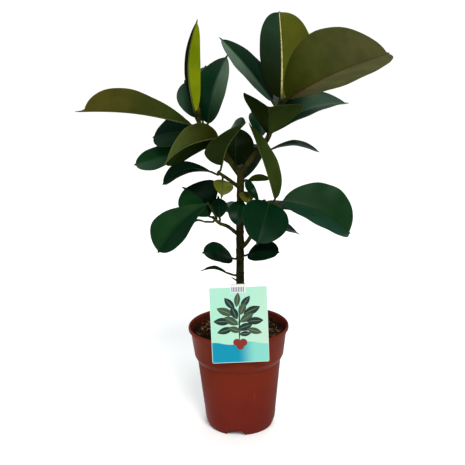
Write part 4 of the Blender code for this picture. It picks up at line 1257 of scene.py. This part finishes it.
def dull_underside():
    """The matt underside, with its side veins a little plainer."""
    finish, tree, shader = new_material("Leaf underside", Specular_IOR_Level=0.0)
    leaf_faces(tree, shader, "under_tone", 1.1, 0.45, 0.18)
    return finish


def stalk_skin():
    """The smooth, faintly ribbed skin of stalk and midrib."""
    finish, tree, shader = new_material("Leaf stalk", Specular_IOR_Level=0.03)
    where = object_place(tree)
    tone = node(tree, "ShaderNodeAttribute", {"attribute_name": "rib_tone"}).outputs["Color"]
    grain = speckle(tree, where, 240.0, 4.0)
    dark = mix(tree, 1.0, tone, (0.6, 0.6, 0.55, 1.0), "MULTIPLY")
    wire(tree, shader.inputs["Base Color"], mix(tree, span(tree, grain, 0.3, 0.6), dark, tone))
    wire(tree, shader.inputs["Roughness"], span(tree, grain, 0.3, 0.7, 0.4, 0.55))
    wire(tree, shader.inputs["Normal"], bump(tree, grain, 0.2, 0.3 * MM))
    return finish


LEAF_FINISHES = [waxy_upper(), dull_underside(), stalk_skin()]


def make_leaf(name, stem, blade, phase):
    """One leaf: blade, midrib and stalk, in place of its plain solid.

    The fine edge bulges a little past the solid's facets, but not past the whole part's box.
    """
    finish = LOOKS.get(name, look())
    where = leaf_frame(stem, blade)
    sheet = as_object("blade", blade_sheet(blade, where, finish, phase), LEAF_FINISHES)
    bm = bmesh.new()
    bm.from_mesh(thickened(sheet, BLADE_THICKNESS))
    count = len(bm.faces)
    bm.from_mesh(stalk_tube(blade, where, finish.width, phase))
    rib = bm.verts.layers.float_color["rib_tone"]
    bm.faces.ensure_lookup_table()
    for face in bm.faces[count:]:
        face.material_index = 2
        for vert in face.verts:
            reach = ((vert.co / MM - where.base).dot(where.along) + 4.0) / 30.0
            vert[rib] = between(TONES["stalk"], TONES[finish.rib], min(max(reach, 0.0), 1.0))
    for vert in bm.verts:
        vert.co = [min(max(c, low), high) for c, low, high in zip(vert.co, cad_low, cad_high)]
    thing = as_object("leaf_" + name + "_blade", bm, LEAF_FINISHES, 50.0)
    finish_piece(thing, "leaf", "leaf_" + name)


leaf_roots = []
for stem_name, blades in LEAVES.items():
    for number, blade in enumerate(blades, start=1):
        stem = STEMS[stem_name]
        leaf_roots.append(leaf_frame(stem, blade))
        make_leaf(stem_name + "_" + str(number), stem, blade, WAVE_STEP * len(leaf_roots))


# The stem's skin.  One living bark runs over trunk, branches and twigs, so all their forms are
# melted together, once the leaves' roots are known, with a low cushion under every leaf stalk.

CUSHION_SINK = 1.6
CUSHION_SWELL = 1.35
BARK_SHARP = 60.0

stem_rings = []
stem_bm = bmesh.new()
for stem_name in STEMS:
    stem_bm.from_mesh(stem_tube(stem_name, stem_rings))
old_knots(stem_bm, stem_rings)
for stub_height, stub_heading in STUB_ROOTS:
    stem_bm.from_mesh(stub_tube(stub_height, stub_heading))
for where in leaf_roots:
    knot(stem_bm, where.root - where.out * CUSHION_SINK, where.out,
         STALK_RADIUS * CUSHION_SWELL)
stem_mesh = roughened(remeshed(stem_bm, "stem_forms"), stem_rings)
finish_piece(skinned("stem_bark", stem_mesh, bark(), BARK_SHARP), "bark", "stem")


# The buds.  At each branch's tip the next leaf is rolled up in a pointed sheath, red at its
# base and brown at its tip, with a twist in its seam.

BUD_LENGTH = 15.0
BUD_RADIUS = 2.7
BUD_STEPS = 18
SEAM_DEPTH = 0.07
SEAM_TWIST = 5.0


def bud_skin(name, base, tip):
    """A ribbed sheath that changes colour from its base to its tip."""
    finish, tree, shader = new_material(name, Specular_IOR_Level=0.06)
    where = object_place(tree)
    grain = speckle(tree, where, 300.0, 4.0, (1.0, 1.0, 0.25))
    up_share = node(tree, "ShaderNodeAttribute", {"attribute_name": "along"}).outputs["Fac"]
    colour = mix(tree, up_share, base, tip)
    dark = mix(tree, 1.0, colour, (0.5, 0.5, 0.5, 1.0), "MULTIPLY")
    colour = mix(tree, span(tree, grain, 0.35, 0.65), dark, colour)
    wire(tree, shader.inputs["Base Color"], colour)
    wire(tree, shader.inputs["Roughness"], span(tree, grain, 0.3, 0.7, 0.35, 0.55))
    wire(tree, shader.inputs["Normal"], bump(tree, grain, 0.4, 0.3 * MM))
    return finish


def make_bud(stem_name, base, tip):
    """The rolled leaf at the end of a branch, in place of its plain solid."""
    stem = STEMS[stem_name]
    way = along_stem(stem, 1.0)
    start = on_curve(stem.points, 1.0) + way * TOUCH_GAP
    points, radii = [], []
    for i in range(BUD_STEPS + 1):
        share = i / BUD_STEPS
        points.append(start + way * BUD_LENGTH * share)
        swell = 0.8 + 0.2 * math.sin(math.pi * min(share / 0.6, 1.0))
        radii.append(BUD_RADIUS * max(swell * (1 - share ** 2.2), 0.1))
    bm = bmesh.new()
    bm.from_mesh(tube(points, radii, 16))
    layer = bm.verts.layers.float.new("along")
    for vert in bm.verts:
        share = (vert.co / MM - start).dot(way) / BUD_LENGTH
        vert[layer] = min(max(share, 0.0), 1.0)
        turn = math.atan2(vert.co.y / MM - start.y, vert.co.x / MM - start.x)
        seam = math.sin(2.0 * turn + SEAM_TWIST * share)
        centre = (start + way * BUD_LENGTH * share) * MM
        vert.co = centre + (vert.co - centre) * (1.0 + SEAM_DEPTH * seam)
    thing = as_object("bud_" + stem_name + "_sheath", bm,
                      [bud_skin("Bud " + stem_name, base, tip)], 60.0)
    finish_piece(thing, "bud", "bud_" + stem_name)


make_bud("right", srgb(150, 62, 26), srgb(96, 66, 30))
make_bud("left", srgb(92, 58, 24), srgb(70, 72, 24))


# The studio.  A wide pale floor, one broad soft lamp high in front on the right, a weaker one
# on the left, a small sheen from above, and the camera where the photographer stood.

FLOOR_RADIUS = 60.0
CAMERA_PLACE = (-0.0064, -1.5, 0.766)
CAMERA_PITCH = 74.2
CAMERA_ROLL = -1.38
CAMERA_LENS = 73.1


def pale_floor():
    finish, tree, shader = new_material("Pale studio floor", Roughness=0.7,
                                        Specular_IOR_Level=0.2)
    tint = speckle(tree, object_place(tree), 2.0, 2.0)
    colour = mix(tree, tint, srgb(248, 248, 247), srgb(252, 252, 251))
    wire(tree, shader.inputs["Base Color"], colour)
    return finish


def area_lamp(name, place, aim, size, watts, tint):
    lamp = bpy.data.lights.new(name, "AREA")
    lamp.shape = "DISK"
    lamp.size = size
    lamp.energy = watts
    lamp.color = tint
    thing = in_scene(name, lamp)
    thing.location = place
    thing.rotation_euler = (Vector(aim) - Vector(place)).to_track_quat("-Z", "Y").to_euler()


floor_bm = bmesh.new()
bmesh.ops.create_circle(floor_bm, cap_ends=True, segments=96, radius=FLOOR_RADIUS)
floor = as_object("studio_floor", floor_bm, [pale_floor()])

sun = bpy.data.lights.new("key", "SUN")
sun.energy = 2.4
sun.angle = math.radians(24)
sun.color = (1.0, 0.985, 0.96)
key = in_scene("key", sun)
key.rotation_euler = (math.radians(42), math.radians(16), 0)
area_lamp("fill", (-1.6, -1.8, 1.4), (0, 0, 0.35), 1.2, 16.0, (0.95, 0.98, 1.0))
area_lamp("sheen", (0.3, 0.9, 2.0), (0, 0, 0.4), 1.0, 14.0, (0.94, 1.0, 0.98))

world = bpy.data.worlds.new("Studio")
world.use_nodes = True
sky = world.node_tree.nodes["Background"].inputs
sky["Color"].default_value = (0.95, 0.97, 1.0, 1.0)
sky["Strength"].default_value = 0.6
bpy.context.scene.world = world

camera_data = bpy.data.cameras.new("camera")
camera_data.lens = CAMERA_LENS
camera_data.sensor_width = 36.0
camera_data.clip_end = 200.0
camera = in_scene("camera", camera_data)
camera.matrix_world = (Matrix.Translation(CAMERA_PLACE)
                       @ Matrix.Rotation(math.radians(CAMERA_PITCH), 4, "X")
                       @ Matrix.Rotation(math.radians(CAMERA_ROLL), 4, "Z"))
bpy.context.scene.camera = camera
bpy.context.scene.view_settings.view_transform = "Standard"
